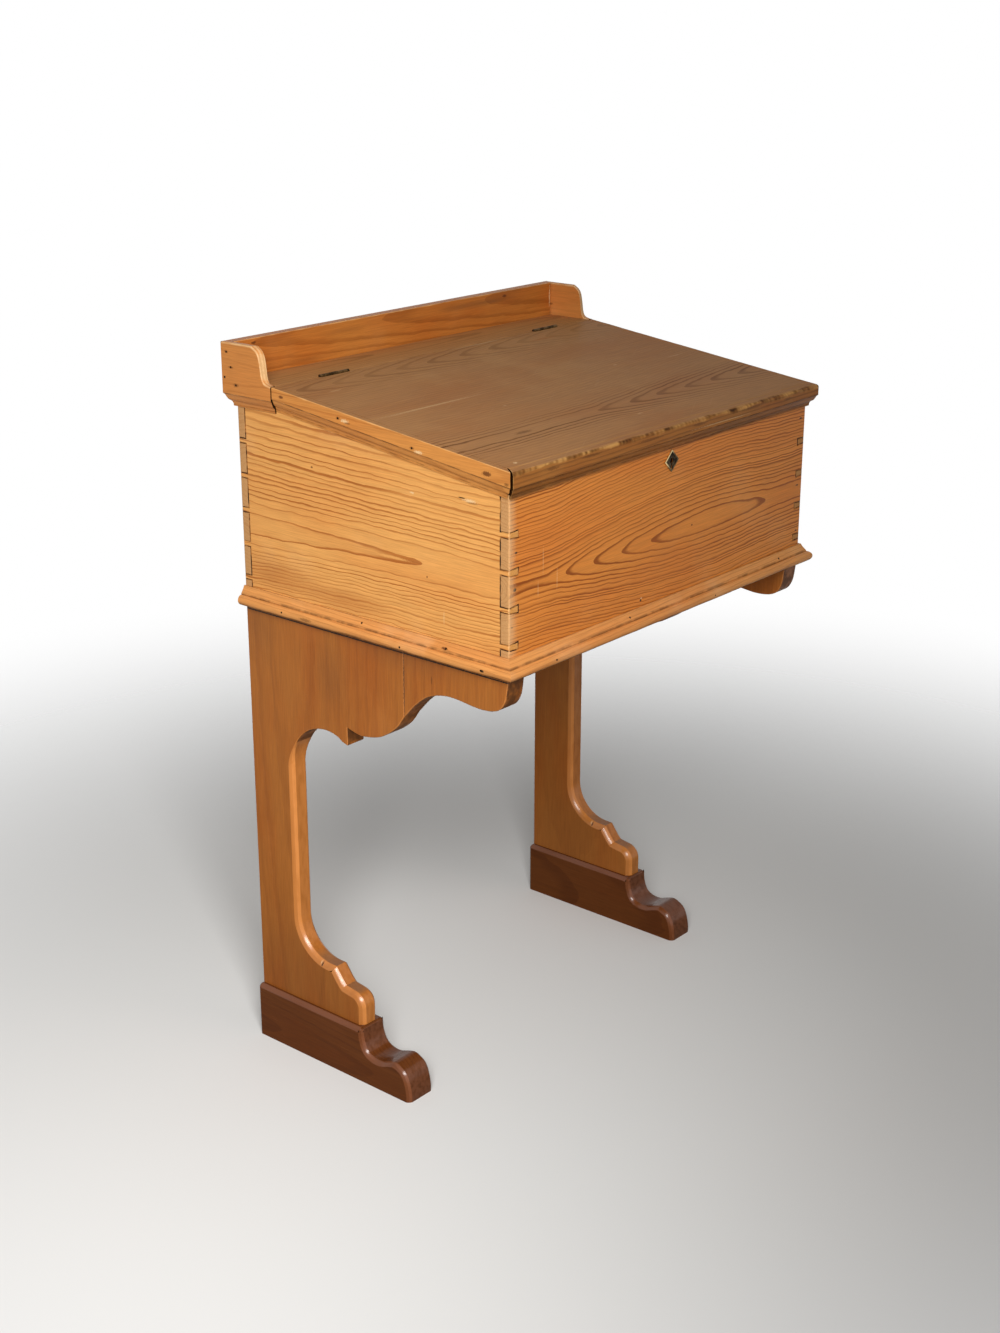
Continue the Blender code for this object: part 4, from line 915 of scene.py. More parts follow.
def flowing(points, steps):
    """A smooth curve through points, ends included."""
    ends = [points[0], *points, points[-1]]
    run = []
    for before, start, end, after in zip(ends, ends[1:], ends[2:], ends[3:]):
        for step in range(steps):
            t = step / steps
            run.append(tuple(0.5 * (2 * b + (c - a) * t + (2 * a - 5 * b + 4 * c - d) * t ** 2
                                    + (3 * b - a - 3 * c + d) * t ** 3)
                             for a, b, c, d in zip(before, start, end, after)))
    return [*run, tuple(points[-1])]


print("a corner is eased in", EASE_STEPS, "steps")

# %% [markdown]
# A Curve object with a bevel would sweep a section along a line, but its section stays the same all
# the way. Here the section is asked for again every few millimetres, so the easing of a corner can
# follow noise along the length, which leaves the edge ragged where it has been chipped. A mitre is
# made by letting each point of the section start and end by its own distance out.

# %% Sweep
STATION = 0.0035
SLOW_WAVES = (38, 0.3)
QUICK_WAVES = (150, 4.1)
RAGGED_LEVEL = 0.35
SLOW_PART = 0.55
BITE_PART = 0.75
BITE_FLOOR = 0.5


def sweep(corners_at, start, end, mitres=(0.0, 0.0), shares=None, station=STATION, caps=(1, 1),
          end_wear=(0.0, 0.0)):
    """A worked mesh along +X with its face to -Y. corners_at(distance) gives its section there."""
    work = bmesh.new()
    wear_and_light_layer = work.verts.layers.float.new("wear_and_light")
    grime_and_shade_layer = work.verts.layers.float.new("grime_and_shade")
    count = max(2, round((end - start) / station))
    rings = []
    for share in shares or [i / count for i in range(count + 1)]:
        ring = []
        for (out, up), wear_and_light, dirt_and_shade in section_points(corners_at(start + (end - start) * share)):
            low = start - mitres[0] * out
            high = end + mitres[1] * out
            vert = work.verts.new((low + (high - low) * share, -out, up))
            vert[wear_and_light_layer] = max(wear_and_light, end_wear[0] * (share == 0), end_wear[1] * (share == 1))
            vert[grime_and_shade_layer] = dirt_and_shade
            ring.append(vert)
        rings.append(ring)
    for near, far in zip(rings, rings[1:]):
        for i in range(len(near)):
            j = (i + 1) % len(near)
            work.faces.new((near[i], near[j], far[j], far[i]))
    work.faces.new(rings[0][::-1]).material_index = caps[0]
    work.faces.new(rings[-1]).material_index = caps[1]
    bmesh.ops.recalc_face_normals(work, faces=work.faces)
    return work


def turn_to(work, degrees, x=0.0, y=0.0):
    """Swing a worked length round to its side of the desk."""
    matrix = Matrix.Translation((x, y, 0.0)) @ Matrix.Rotation(math.radians(degrees), 4, "Z")
    bmesh.ops.transform(work, matrix=matrix, verts=work.verts)


def raggedness(distance, seed, quick):
    """From 0 to about 1 along an edge, mostly low with sudden bites."""
    slow = noise.noise((distance * SLOW_WAVES[0] * quick, seed, SLOW_WAVES[1]))
    bite = noise.noise((distance * QUICK_WAVES[0] * quick, seed, QUICK_WAVES[1]))
    bites = BITE_PART * max(0.0, bite) * (BITE_FLOOR + slow)
    return max(0.0, RAGGED_LEVEL + SLOW_PART * slow + bites)


print("sweep ready, one section every", STATION * 1000, "mm")

# %% [markdown]
# The lid's three lips hang outside the box. They were stained with the lid, and the front one has
# gone darkest where sleeves lie on it. A single wood would do for all three, but each was cut from
# its own stick, so each has its own log, knots and stains.

# %% Woods of the lips
LIP_COLOURS = ("D08A44", "A9642A", "B98C5C", "DDA76A", "2E1A0C")
FRONT_LIP_COLOURS = ("9B632B", "533112", "8A6A48", "C4904F", "2A1607")
LEFT_LIP_MARKS = (
    ("knot", -195, 867, 8, 3.6), ("knot", 132, 909, 5, 2.5), ("pale", 25, 895, 8, 2.8),
    ("stain", 36, 897, 4.5, 2.5), ("stain", -82, 879, 4.5, 2.5), ("stain", 20, 893, 7, 1.4),
    ("pale", -92, 875.5, 8, 2.4), ("stain", -224, 859, 4.5, 3), ("stain", -222, 847, 4, 2.5))
FRONT_LIP_MARKS = (
    ("stain", -250, 866, 16, 2.6), ("stain", -178, 868, 26, 2.2), ("stain", -62, 866, 34, 2.2),
    ("stain", 42, 867, 20, 2.6), ("stain", 152, 868, 38, 2.0), ("stain", 244, 866, 14, 2.4),
    ("scratch", 92, 862, 84, 1.0))

left_lip_wood = wood("pine_lip_left", "yxz", (0.7, -0.27, 0.87), LIP_COLOURS, ring=0.006, seed=2.8,
                     contrast=0.7, marks=LEFT_LIP_MARKS)
right_lip_wood = wood("pine_lip_right", "yxz", (0.7, 0.27, 0.86), LIP_COLOURS, ring=0.006, seed=3.6,
                      contrast=0.7)
front_lip_wood = wood("pine_lip_front", "xyz", (0.8, -0.30, 0.795), FRONT_LIP_COLOURS, ring=0.0040,
                      taper=0.012, summer=0.0022, wave=0.004, seed=3.9, contrast=0.75, scuff=0.25,
                      gloss=0.1, mottle=0.9, marks=FRONT_LIP_MARKS)
print("woods of the lips made")

# %% [markdown]
# A lip's face is plain above, with an ogee and a small fillet below. The front lip has had the worst
# of it: generations of elbows and knives have broken its top edge into chips, some worn pale and some
# filled with dirt. Cutting chips out one by one would take long, so the easing of that edge is driven
# by noise, and a second noise says which chips hold dirt. The lip has sagged at its left end.

# %% Sections of the lips
FIT = 0.0005
LIP_MOULD = 0.0155
LIP_OGEE = ((0.22, 0.0025), (0.34, 0.0059), (0.62, 0.0085), (0.86, 0.0143))
OGEE_STEPS = 4
FOOT_EASE = 0.0004
FILLET_DIRT = 0.6
# The moulded strip under the ogee looks down, and it is painted paler as painted light.
STRIP_PAINTED_LIGHT = 0.06
GROOVE_EASE = 0.0010
LIP_GROOVE_DIRT = 0.85
FRONT_RUB = 0.0022
FRONT_CHIP = 0.0080
FRONT_QUICK = 0.9
RIGHT_RUB = 0.0050
BLUNT_FROM = 0.92
BLUNT_RUN = 0.08
CRUST_LEVEL = 0.5
CRUST_SLOW = (1.1, 47, 7.7, 1.3)
CRUST_QUICK = (1.0, 190, 2.9, 6.1)
SIDE_QUICK = 0.6
SIDE_LEVEL = 0.5
LEFT_SAG = 0.0042
SAG_POWER = 1.4

lip_low, lip_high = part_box("lid_edge_front")
front_thick = front_y - lip_low.y
side_thick = box_low.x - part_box("lid_edge_left")[0].x
lip_height = lip_high.z - lip_low.z - lid_slope * front_thick
half = box_high.x
lid_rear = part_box("lid_board")[1].y


def moulded_foot(inner, thickness, foot, dirt_and_shade):
    """Corners of the moulding at the foot of a lip, from its inner edge to the groove above it."""
    span = thickness - inner
    curl = flowing([(inner + span * share, foot + up) for share, up in LIP_OGEE], OGEE_STEPS)
    return [(inner, foot, 0.0, 0.0), (inner + span * LIP_OGEE[0][0], foot, FOOT_EASE, 0.0),
            *plain(curl[:1], FILLET_DIRT), *plain(curl[1:], -STRIP_PAINTED_LIGHT),
            (thickness, foot + LIP_MOULD, GROOVE_EASE, dirt_and_shade)]


def lip_corners(thickness, rub, dirt_and_shade=0.0, deeper=0.0):
    """Corners of a lip's section, from its inner top edge round by its foot."""
    return [(FIT, 0.0, 0.0, 0.0),
            *moulded_foot(FIT, thickness, -lip_height - deeper, LIP_GROOVE_DIRT),
            (thickness, 0.0, rub, dirt_and_shade)]


def front_lip_at(x):
    """The front lip's section, chipped all along, lower at its left end and blunt at its right."""
    share = (x + half) / (2 * half)
    bite = raggedness(x, 2.0, FRONT_QUICK)
    crust = CRUST_LEVEL
    for depth, waves, *cut in (CRUST_SLOW, CRUST_QUICK):
        crust += depth * noise.noise((x * waves, *cut))
    blunt_end = RIGHT_RUB * max(0.0, share - BLUNT_FROM) / BLUNT_RUN
    return lip_corners(front_thick, FRONT_RUB + FRONT_CHIP * bite + blunt_end,
                       min(1.0, max(0.0, crust)), LEFT_SAG * (1 - share) ** SAG_POWER)


def side_lip_at(seed, rub, droop=0.0):
    """A side lip's section along its length, with a droop towards the front."""
    def corners(along):
        forward = max(0.0, 1 - abs(along + front_y) / (lid_rear - front_y))
        uneven = SIDE_LEVEL + raggedness(along, seed, SIDE_QUICK)
        return lip_corners(side_thick, rub * uneven, 0.0, droop * forward ** SAG_POWER)
    return corners


print("lips", round(front_thick * 1000, 1), "and", round(side_thick * 1000, 1), "mm thick")

# %% [markdown]
# Each lip is swept level along X, swung round to its side and then sheared to the lid's slope, so
# that its section stays upright as it does on the desk. Sweeping it straight along the slope would
# lean the ends of the side lips. Its top takes the lid's own stain. The left mitre has sprung open,
# which leaves a dark gap and a pale sliver.

# %% Lid lips
LIP_TOP_FACING = 0.9
FRONT_STATION = 0.0018
SLIVER = 1.0
LIP_GAP = 0.0011
OPEN_MITRE = 0.0040
LEFT_RUB = 0.0014


def hang_lip(name, work, material, degrees, x, y):
    """Swing a lip to its side, give it the lid's slope and height, and stain its top."""
    turn_to(work, degrees, x, y)
    for vert in work.verts:
        vert.co.z += lid_plane + lid_slope * vert.co.y
    work.normal_update()
    for face in work.faces:
        if face.normal.z > LIP_TOP_FACING:
            face.material_index = 2
    finish_mesh("lid_lip_" + name, work, [material, JOINT_DIRT_AND_SHADE, lid_wood], "lid",
                ["lid_edge_" + name])


front_lip = sweep(front_lip_at, -half, half, (side_thick / front_thick,) * 2,
                  station=FRONT_STATION, end_wear=(SLIVER, 0.0))
hang_lip("front", front_lip, front_lip_wood, 0, 0.0, front_y)
right_lip = sweep(side_lip_at(5.0, RIGHT_RUB), front_y, lid_rear - LIP_GAP,
                  (front_thick / side_thick, 0.0))
hang_lip("right", right_lip, right_lip_wood, 90, half, 0.0)
left_lip = sweep(side_lip_at(7.0, LEFT_RUB, LEFT_SAG), LIP_GAP - lid_rear, -front_y - OPEN_MITRE,
                 (0.0, front_thick / side_thick))
hang_lip("left", left_lip, left_lip_wood, -90, -half, 0.0)
print("left mitre open by", OPEN_MITRE * 1000, "mm")

# %% [markdown]
# The gallery keeps pens from rolling off the back. Its back board is one length with the lips'
# moulding at its foot, so the same corners serve again. Modelling it as a box with a strip glued on
# would show a seam that the real board doesn't have.

# %% Gallery back
GALLERY_COLOURS = ("BE7632", "8A4C1A", "B98A58", "DDA66A", "38210F")
# The grimy spot low at the left end, at 925 mm, is a painted shadow; the others are smudges.
BACK_BOARD_MARKS = (
    ("knot", -278, 959, 5, 2.0), ("knot", 207, 958, 6, 2.4), ("grimy_and_shaded", 140, 955, 95, 8),
    ("grimy_and_shaded", 100, 954, 45, 5), ("grimy_and_shaded", 172, 954, 50, 5), ("grimy_and_shaded", -110, 953, 70, 6),
    ("grimy_and_shaded", -190, 925, 80, 7), ("pale", 309, 945, 1.5, 18))
GALLERY_DROP = 0.034
GALLERY_GROOVE_DIRT = 0.7
SNUG = 0.0003
BACK_RUB = 0.0014
BACK_INNER_RUB = (0.0009, 0.0010)
BACK_QUICK = 0.5
BACK_TOP_WEAR = 0.2

gallery_wood = wood("pine_gallery", "xyz", (0.9, 0.26, 0.955), GALLERY_COLOURS, ring=0.0068,
                    wave=0.007, seed=9.2, contrast=0.55, mottle=1.0, summer=0.0030, gloss=0.12,
                    marks=BACK_BOARD_MARKS)
ledge_low, ledge_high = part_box("hinge_ledge")
back_y = box_high.y
back_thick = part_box("gallery_back")[1].y - back_y
gallery_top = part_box("gallery_back")[1].z


def gallery_corners(thickness, top, rub_in, rub_out, top_wear=BACK_TOP_WEAR):
    """A gallery board's section, with its foot at the gallery's and its top at a height."""
    return [(SNUG, top, rub_in, 0.0),
            *moulded_foot(SNUG, thickness, ledge_high.z - GALLERY_DROP, GALLERY_GROOVE_DIRT),
            (thickness, top, rub_out, 0.0), (thickness / 2, top, 0.0, -top_wear)]


def back_board_at(x):
    """The back board's section, its inner top edge rubbed unevenly."""
    rub = BACK_INNER_RUB[0] + BACK_INNER_RUB[1] * raggedness(x, 1.0, BACK_QUICK)
    return gallery_corners(back_thick, gallery_top, rub, BACK_RUB)


back_board = sweep(back_board_at, -half, half, (side_thick / back_thick,) * 2)
turn_to(back_board, 180, 0.0, back_y)
finish_mesh("gallery_back_board", back_board, [gallery_wood, JOINT_DIRT_AND_SHADE], "desk",
            ["gallery_back"])
print("gallery", round(gallery_top * 1000), "mm above the floor")

# %% [markdown]
# Each end board of the gallery has the same section again, but its top follows an ogee that rises
# from the ledge. It could be cut from a taller board with a Boolean. Since the sweep asks for the
# section at every station, it is enough to change the section's height there. Hands have rubbed the
# ogees down to cream.

# %% Gallery ends
GALLERY_END_COLOURS = ("CC8442", "9C5A24", "C99C68", "E6BB86", "38210F")
END_BOARD_MARKS = (
    ("stain", 226, 953, 4.5, 2.5), ("stain", 219, 934.5, 5.5, 2.2), ("stain", 231, 921, 3, 2.5),
    ("stain", 211, 913, 6.5, 3.2))
GALLERY_RISE = 0.046
OGEE_RISE = ((0.0015, 0.0000), (0.0095, 0.0030), (0.0130, 0.0110), (0.0145, 0.0230),
             (0.0165, 0.0345), (0.0200, 0.0410), (0.0270, 0.0460))
RISE_STEPS = 8
OGEE_WEAR = 0.75
END_TOP_WEAR = 0.3
END_RUB = (0.0022, 0.0014)
END_QUICK = 0.6
STRAIGHT_STATIONS = [0.03 + 0.004 * i for i in range(10)]

gallery_end_wood = wood("pine_gallery_end", "yxz", (0.7, -0.29, 0.93), GALLERY_END_COLOURS,
                        ring=0.006, wave=0.010, seed=6.6, contrast=0.35, marks=END_BOARD_MARKS)
gallery_start = ledge_low.y
ogee = flowing(OGEE_RISE, RISE_STEPS)


def ogee_height(forward):
    """Height of an end board above the ledge at a distance behind its front edge."""
    for (near, low), (far, high) in zip(ogee, ogee[1:]):
        if near <= forward <= far:
            return low + (high - low) * (forward - near) / (far - near)
    return 0.0 if forward < ogee[0][0] else GALLERY_RISE


def end_board_at(side):
    """An end board's section along its length, at the right for side 1 and at the left for -1."""
    def corners(distance):
        behind = side * distance - gallery_start
        rub = END_RUB[0] + END_RUB[1] * raggedness(behind, 3.0 + side, END_QUICK)
        top_wear = OGEE_WEAR if behind < OGEE_RISE[-1][0] else END_TOP_WEAR
        return gallery_corners(side_thick, ledge_high.z + ogee_height(behind), rub, rub, top_wear)
    return corners


end_length = back_y - gallery_start
forwards = sorted({0.0, *(forward for forward, up in ogee), *STRAIGHT_STATIONS, end_length})
right_end = sweep(end_board_at(1), gallery_start, back_y, (0.0, back_thick / side_thick),
                  [forward / end_length for forward in forwards])
left_end = sweep(end_board_at(-1), -back_y, -gallery_start, (back_thick / side_thick, 0.0),
                 [1 - forward / end_length for forward in forwards[::-1]])
for word, end_board, side in (("right", right_end, 1), ("left", left_end, -1)):
    turn_to(end_board, side * 90, side * half)
    finish_mesh("gallery_end_board_" + word, end_board, [gallery_end_wood, JOINT_DIRT_AND_SHADE], "desk",
                ["gallery_end_" + word])
print("end boards swept in", len(forwards), "sections")

# %% [markdown]
# The base moulding hides the edge of the bottom boards: a cove above a round nose. It would once have
# been run with a plane, and the sweep does the same. Its nose is bruised in places, so the radius
# stays and the nose moves in by noise. Dirt has settled in the cove and under the nose, and the
# underside of the nose is also painted dark as shade.

# %% Base moulding
BASE_COLOURS = ("D69250", "B0703A", "B98C5C", "F0CD9F", "2E1A0C")
BASE_MARKS = (
    ("stain", 98, 634, 14, 3), ("knot", -127, 645, 6, 2), ("hole_and_shadow_line", -192, 634, 3, 2),
    ("stain", 20, 631, 30, 2), ("stain", -60, 630, 22, 2))
BASE_HEIGHT = 0.025
NOSE_RADIUS = 0.0068
NOSE_ANGLES = [math.radians(-90 + 180 * i / 12) for i in range(13)]
NOSE_STEP = 0.0012
COVE_TOP = 0.0040
COVE_STEPS = 5
TOP_EDGE = 0.0022
TOP_EASE = 0.0006
BRUISE = 0.0009
BASE_QUICK = 0.8
# Under the nose the darkening is dirt and painted shade.
UNDER_NOSE_DIRT_AND_SHADE = 0.85
COVE_DIRT = 0.5
SEAM_DIRT = 0.6

base_side_wood = wood("pine_base_side", "yxz", (0.8, -0.35, 0.62), BASE_COLOURS, ring=0.005,
                      taper=0.02, seed=4.9, contrast=0.6, scuff=0.2, marks=BASE_MARKS)
base_front_wood = wood("pine_base_front", "xyz", (0.8, -0.26, 0.62), BASE_COLOURS, ring=0.005,
                       taper=0.02, seed=6.1, contrast=0.6, scuff=0.2)
base_low = box_low.z
base_out = box_low.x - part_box("base_moulding_left")[0].x


def base_at(seed):
    """The base moulding's section along its length, bruised by a seed."""
    def corners(distance):
        bruise = BRUISE * raggedness(distance, seed, BASE_QUICK)
        centre = (base_out - NOSE_RADIUS - bruise, base_low + NOSE_RADIUS + SNUG)
        nose = [(centre[0] + NOSE_RADIUS * math.cos(a), centre[1] + NOSE_RADIUS * math.sin(a))
                for a in NOSE_ANGLES]
        top = base_low + BASE_HEIGHT
        cove = flowing([(base_out - NOSE_RADIUS, nose[-1][1] + NOSE_STEP),
                        (SNUG + COVE_TOP, top - COVE_TOP), (SNUG + TOP_EDGE, top)], COVE_STEPS)
        return [(SNUG, base_low + SNUG, 0.0, 0.0), *plain(nose[:4], UNDER_NOSE_DIRT_AND_SHADE), *plain(nose[4:-1]),
                *plain(nose[-1:], SEAM_DIRT), *plain(cove[:2], COVE_DIRT), *plain(cove[2:-1]),
                (*cove[-1], TOP_EASE, COVE_DIRT), (SNUG, top, 0.0, SEAM_DIRT)]
    return corners


for name, material, turn, start, end, mitres, caps, place in (
        ("front", base_front_wood, 0, -half, half, (1.0, 1.0), (1, 1), (0.0, front_y)),
        ("right", base_side_wood, 90, front_y, back_y, (1.0, 0.0), (1, 0), (half, 0.0)),
        ("left", base_side_wood, -90, -back_y, -front_y, (0.0, 1.0), (0, 1), (-half, 0.0))):
    length = sweep(base_at(2.0 + turn), start, end, mitres, caps=caps)
    turn_to(length, turn, *place)
    finish_mesh("base_length_" + name, length, [material, JOINT_DIRT_AND_SHADE], "desk",
                ["base_moulding_" + name])
print("base moulding stands out", round(base_out * 1000, 1), "mm")

# %% [markdown]
# The legs and feet are of a close, polished wood with little figure, the feet much darker. The
# chamfers and front edges have been rubbed by hands and shoes until they are pale and shine, which
# the wood recipe does with its chamfers and shine values, and their paleness is also painted light.
# Wood high up under the box, just below the base moulding and near the floor is painted darker as
# shade.

# %% Woods of the legs
# The legs' rubbed colour is also painted light and their dirt colour painted shade. Grimy spots are
# painted shade near the floor and under the base moulding, and the long line at 621 mm is a painted
# shadow line under the moulding, with dirt.
LEG_COLOURS = ("A46328", "83481A", "8A5A34", "CE823F", "1E1007")
FOOT_COLOURS = ("643616", "441F0D", "50290F", "80492A", "140A05")
LEG_MARKS = (
    ("hole_and_shadow_line", 145, 105, 4.5, 1.5), ("pale", 147, 107.5, 4, 1.2), ("stain", 597, -100, 8, 1.4),
    ("pale", 107, 4, 2.5, 1.5), ("hole_and_shadow_line", 583, -54.5, 62, 1.3), ("hole_and_shadow_line", 621.2, 0, 1.2, 900),
    ("grimy_and_shaded", 95, 140, 170, 190), ("grimy_and_shaded", 600, 205, 70, 50), ("grimy_and_shaded", 560, 70, 70, 40),
    ("grimy_and_shaded", 615, -60, 26, 140))

leg_wood = wood("leg_wood", "zxy", (1.6, -0.22, 0.14), LEG_COLOURS, ring=0.013, taper=0.03,
                wave=0.012, seed=1.3, summer=0.006, contrast=0.3, roughness=0.32, gloss=0.14,
                scuff=0.22, chamfer_wear_and_light=0.6, shine=0.8, mottle=0.8, marks=LEG_MARKS)
foot_wood = wood("foot_wood", "yxz", (0.9, -0.25, 0.02), FOOT_COLOURS, ring=0.005, wave=0.006,
                 seed=7.7, contrast=0.4, roughness=0.24, gloss=0.13, chamfer_wear_and_light=0.45, shine=1.0)
print("woods of the legs made")

# %% [markdown]
# Each leg is two boards cut to an outline and doweled together, and it stands in a foot cut the same
# way. The frame has these outlines in coarse steps. Smoothing those would round the crisp notches
# too, so the outlines are drawn again with finer curves, as lists of (y, z) read off the photograph.

# %% Outlines of the legs
POST_WIDTH = 0.0735
ARCH_RADIUS = 0.065
ARCH_DROP = 0.141
SPUR = ((0.075, 0.1420), (0.086, 0.1454), (0.094, 0.1500), (0.103, 0.1524))
NOTCH_DROP = 0.128
LOBE = ((0.118, 0.1318), (0.132, 0.1324), (0.160, 0.1255), (0.186, 0.1080))
JOINT_DROP = 0.088
BRACKET_CURVE = ((0.147, 0.0680), (0.124, 0.0520), (0.092, 0.0450), (0.045, 0.0487),
                 (0.018, 0.0440), (0.006, 0.0300), (0.0018, 0.0080))
LOWER_RADIUS = 0.055
LOWER_RISE = 0.0685
SHELF = 0.064
STEP_RUN = 0.018
STEP_FALL = 0.0225
STEP_HOLLOW = (2 / 3, 0.72)
FOOT_REACH = 0.1165
LEG_NOSE = 0.021
LEG_NOSE_RISE = 0.023
TOE_CURVE = ((0.0000, 0.0110), (0.0035, 0.0277), (0.0095, 0.0395), (0.0180, 0.0455),
             (0.0280, 0.0490), (0.0385, 0.0465), (0.0530, 0.0415), (0.0670, 0.0420),
             (0.0780, 0.0480), (0.0840, 0.0620))
TOE_TOP = 0.0855
ARC_STEPS = 20
NOSE_STEPS = 10
SPUR_STEPS = 4
LOBE_STEPS = 8
HOLLOW_STEPS = 6
BRACKET_STEPS = 8
TOE_STEPS = 7

leg_low, leg_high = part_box("leg_upright_left")
foot_low, foot_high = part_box("foot_left")
leg_top = box_low.z
post_front = leg_high.y - POST_WIDTH
joint_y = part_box("leg_bracket_left")[1].y


def arc(centre, radius, first, last, steps=ARC_STEPS):
    """Points round a centre, angles in degrees."""
    angles = [math.radians(first + (last - first) * i / steps) for i in range(steps + 1)]
    return [(centre[0] + radius * math.cos(a), centre[1] + radius * math.sin(a)) for a in angles]


def before_post(steps):
    """Points given as (forward of the post, below the box), as (y, z)."""
    return [(post_front - forward, leg_top - drop) for forward, drop in steps]


def upright_outline():
    """The rear board of a leg."""
    upper = arc((post_front - ARCH_RADIUS, leg_top - ARCH_DROP - ARCH_RADIUS), ARCH_RADIUS, 0, 90)
    spur = flowing([upper[-1], *before_post(SPUR)], SPUR_STEPS)
    notch = (spur[-1][0], leg_top - NOTCH_DROP)
    joint = (joint_y + SNUG, leg_top - JOINT_DROP)
    lobe = flowing([notch, *before_post(LOBE), joint], LOBE_STEPS)
    shelf = (post_front - SHELF, foot_high.z + LOWER_RISE)
    step = (shelf[0] - STEP_RUN, shelf[1] - STEP_FALL)
    hollow = (shelf[0] - STEP_HOLLOW[0] * STEP_RUN, shelf[1] - STEP_HOLLOW[1] * STEP_FALL)
    arch = arc((post_front - LOWER_RADIUS, shelf[1] + LOWER_RADIUS), LOWER_RADIUS, -90, 0)
    toe = post_front - FOOT_REACH
    nose = arc((toe + LEG_NOSE, foot_high.z + LEG_NOSE_RISE), LEG_NOSE, 180, 90, NOSE_STEPS)
    cove = flowing([step, hollow, shelf], HOLLOW_STEPS)
    return [(leg_high.y, foot_high.z), (leg_high.y, leg_top), (joint[0], leg_top), *lobe[::-1],
            *spur[1:][::-1], *upper[::-1], *arch[::-1], *cove[::-1], *nose[::-1],
            (toe, foot_high.z)]


def bracket_outline():
    """The front board of a leg."""
    bends = [(front_y + behind, leg_top - drop) for behind, drop in BRACKET_CURVE]
    curve = flowing([(joint_y, leg_top - JOINT_DROP), *bends], BRACKET_STEPS)
    return [(joint_y, leg_top), *curve, (curve[-1][0], leg_top)]


def foot_outline():
    """A foot: flat under the leg, then a hollow and a rounded toe."""
    bends = [(foot_low.y + behind, up) for behind, up in TOE_CURVE]
    curve = flowing([(foot_low.y, 0.0), *bends, (foot_low.y + TOE_TOP, foot_high.z)], TOE_STEPS)
    return [(foot_high.y, 0.0), (foot_high.y, foot_high.z), *curve[::-1]]


print("a leg's rear board has", len(upright_outline()), "points")

# %% [markdown]
# A joiner cuts the board to its outline and then takes the chamfers off with a knife, so that they
# die away under the arch. One Bevel modifier can do that too: it multiplies its width by a weight
# that each edge carries. The faces also get their wear and grime here: low down, faces that look to
# the front are made paler as wear and as painted light, and high up under the box, faces that look
# to the front or the floor get painted shade.

# %% Cutting a board
UPRIGHT_CHAMFER = 0.0072
FOOT_CHAMFER = 0.0055
SOFT_EDGE = 0.0012
CHAMFER_DIES = 0.035
CHAMFER_STEPS = 4
CHAMFER_SHAPE = 0.34
CUT_ANGLE = 60
EDGE_FACING = 0.5
JOINT_EASE = 0.5
FRONT_WEAR_AND_LIGHT = 0.45
PAINTED_SHADE_UNDER_BOX = 0.75
SHADOW_SHARE = 0.5
STOP_SHARE = 0.4

shadow_height = leg_top - ARCH_DROP - SHADOW_SHARE * ARCH_RADIUS
chamfer_stop = leg_top - ARCH_DROP - STOP_SHARE * ARCH_RADIUS


def cut_board(name, outline, low, high, material, replaced, width, weight):
    """A board cut to an outline between two x places, its edges chamfered by weight(point)."""
    work = bmesh.new()
    near = [work.verts.new((low, y, z)) for y, z in outline]
    bmesh.ops.remove_doubles(work, verts=work.verts, dist=WELD)
    face = work.faces.new([vert for vert in near if vert.is_valid])
    grown = bmesh.ops.extrude_face_region(work, geom=[face])["geom"]
    moved = [part for part in grown if isinstance(part, bmesh.types.BMVert)]
    bmesh.ops.translate(work, vec=(high - low, 0.0, 0.0), verts=moved)
    bmesh.ops.recalc_face_normals(work, faces=work.faces)
    weights = work.edges.layers.float.new("bevel_weight_edge")
    wear_and_light_layer = work.faces.layers.float.new("wear_and_light")
    grime_and_shade_layer = work.faces.layers.float.new("grime_and_shade")
    for face in work.faces:
        if abs(face.normal.x) < EDGE_FACING:
            # Painted shade above the shadow height; below it, front faces paler as wear and painted
            # light.
            if face.calc_center_median().z > shadow_height:
                face[grime_and_shade_layer] = PAINTED_SHADE_UNDER_BOX * max(0.0, -face.normal.y, -face.normal.z)
            else:
                face[wear_and_light_layer] = FRONT_WEAR_AND_LIGHT * max(0.0, -face.normal.y)
    for edge in work.edges:
        if edge.calc_face_angle() > math.radians(CUT_ANGLE):
            edge[weights] = weight((edge.verts[0].co + edge.verts[1].co) / 2)
    made = finish_mesh(name, work, [material], "desk", replaced)
    rounding = made.modifiers.new("chamfer", "BEVEL")
    made.modifiers.move(1, 0)
    rounding.width = width
    rounding.segments = CHAMFER_STEPS
    rounding.profile = CHAMFER_SHAPE
    rounding.limit_method = "WEIGHT"
    rounding.use_clamp_overlap = False


def upright_weight(point):
    """Full down the front edge and over the foot, dying away under the arch and soft elsewhere."""
    soft = SOFT_EDGE / UPRIGHT_CHAMFER
    if point.z > leg_top - SNUG or point.z < foot_high.z + SNUG:
        return 0.0
    if point.y > leg_high.y - SNUG:
        return soft
    return max(soft, min(1.0, (chamfer_stop - point.z) / CHAMFER_DIES))


def bracket_weight(point):
    """Soft round the curve, less beside the joint and none under the box."""
    if point.z > leg_top - SNUG:
        return 0.0
    return JOINT_EASE if point.y > joint_y - SNUG else 1.0


def foot_weight(point):
    """Chamfered everywhere but on the floor."""
    return float(point.z > SNUG)


print("chamfer_wear_and_light", UPRIGHT_CHAMFER * 1000, "mm wide at the front of a leg")

# %% [markdown]
# Both legs are the same three cuts, one at each side of the box. A mirror would turn the right leg's
# grain round as well, so it is cut again at its own place and gets its own part of the log.

# %% Legs and feet
SIDES = ((-1, "left"), (1, "right"))

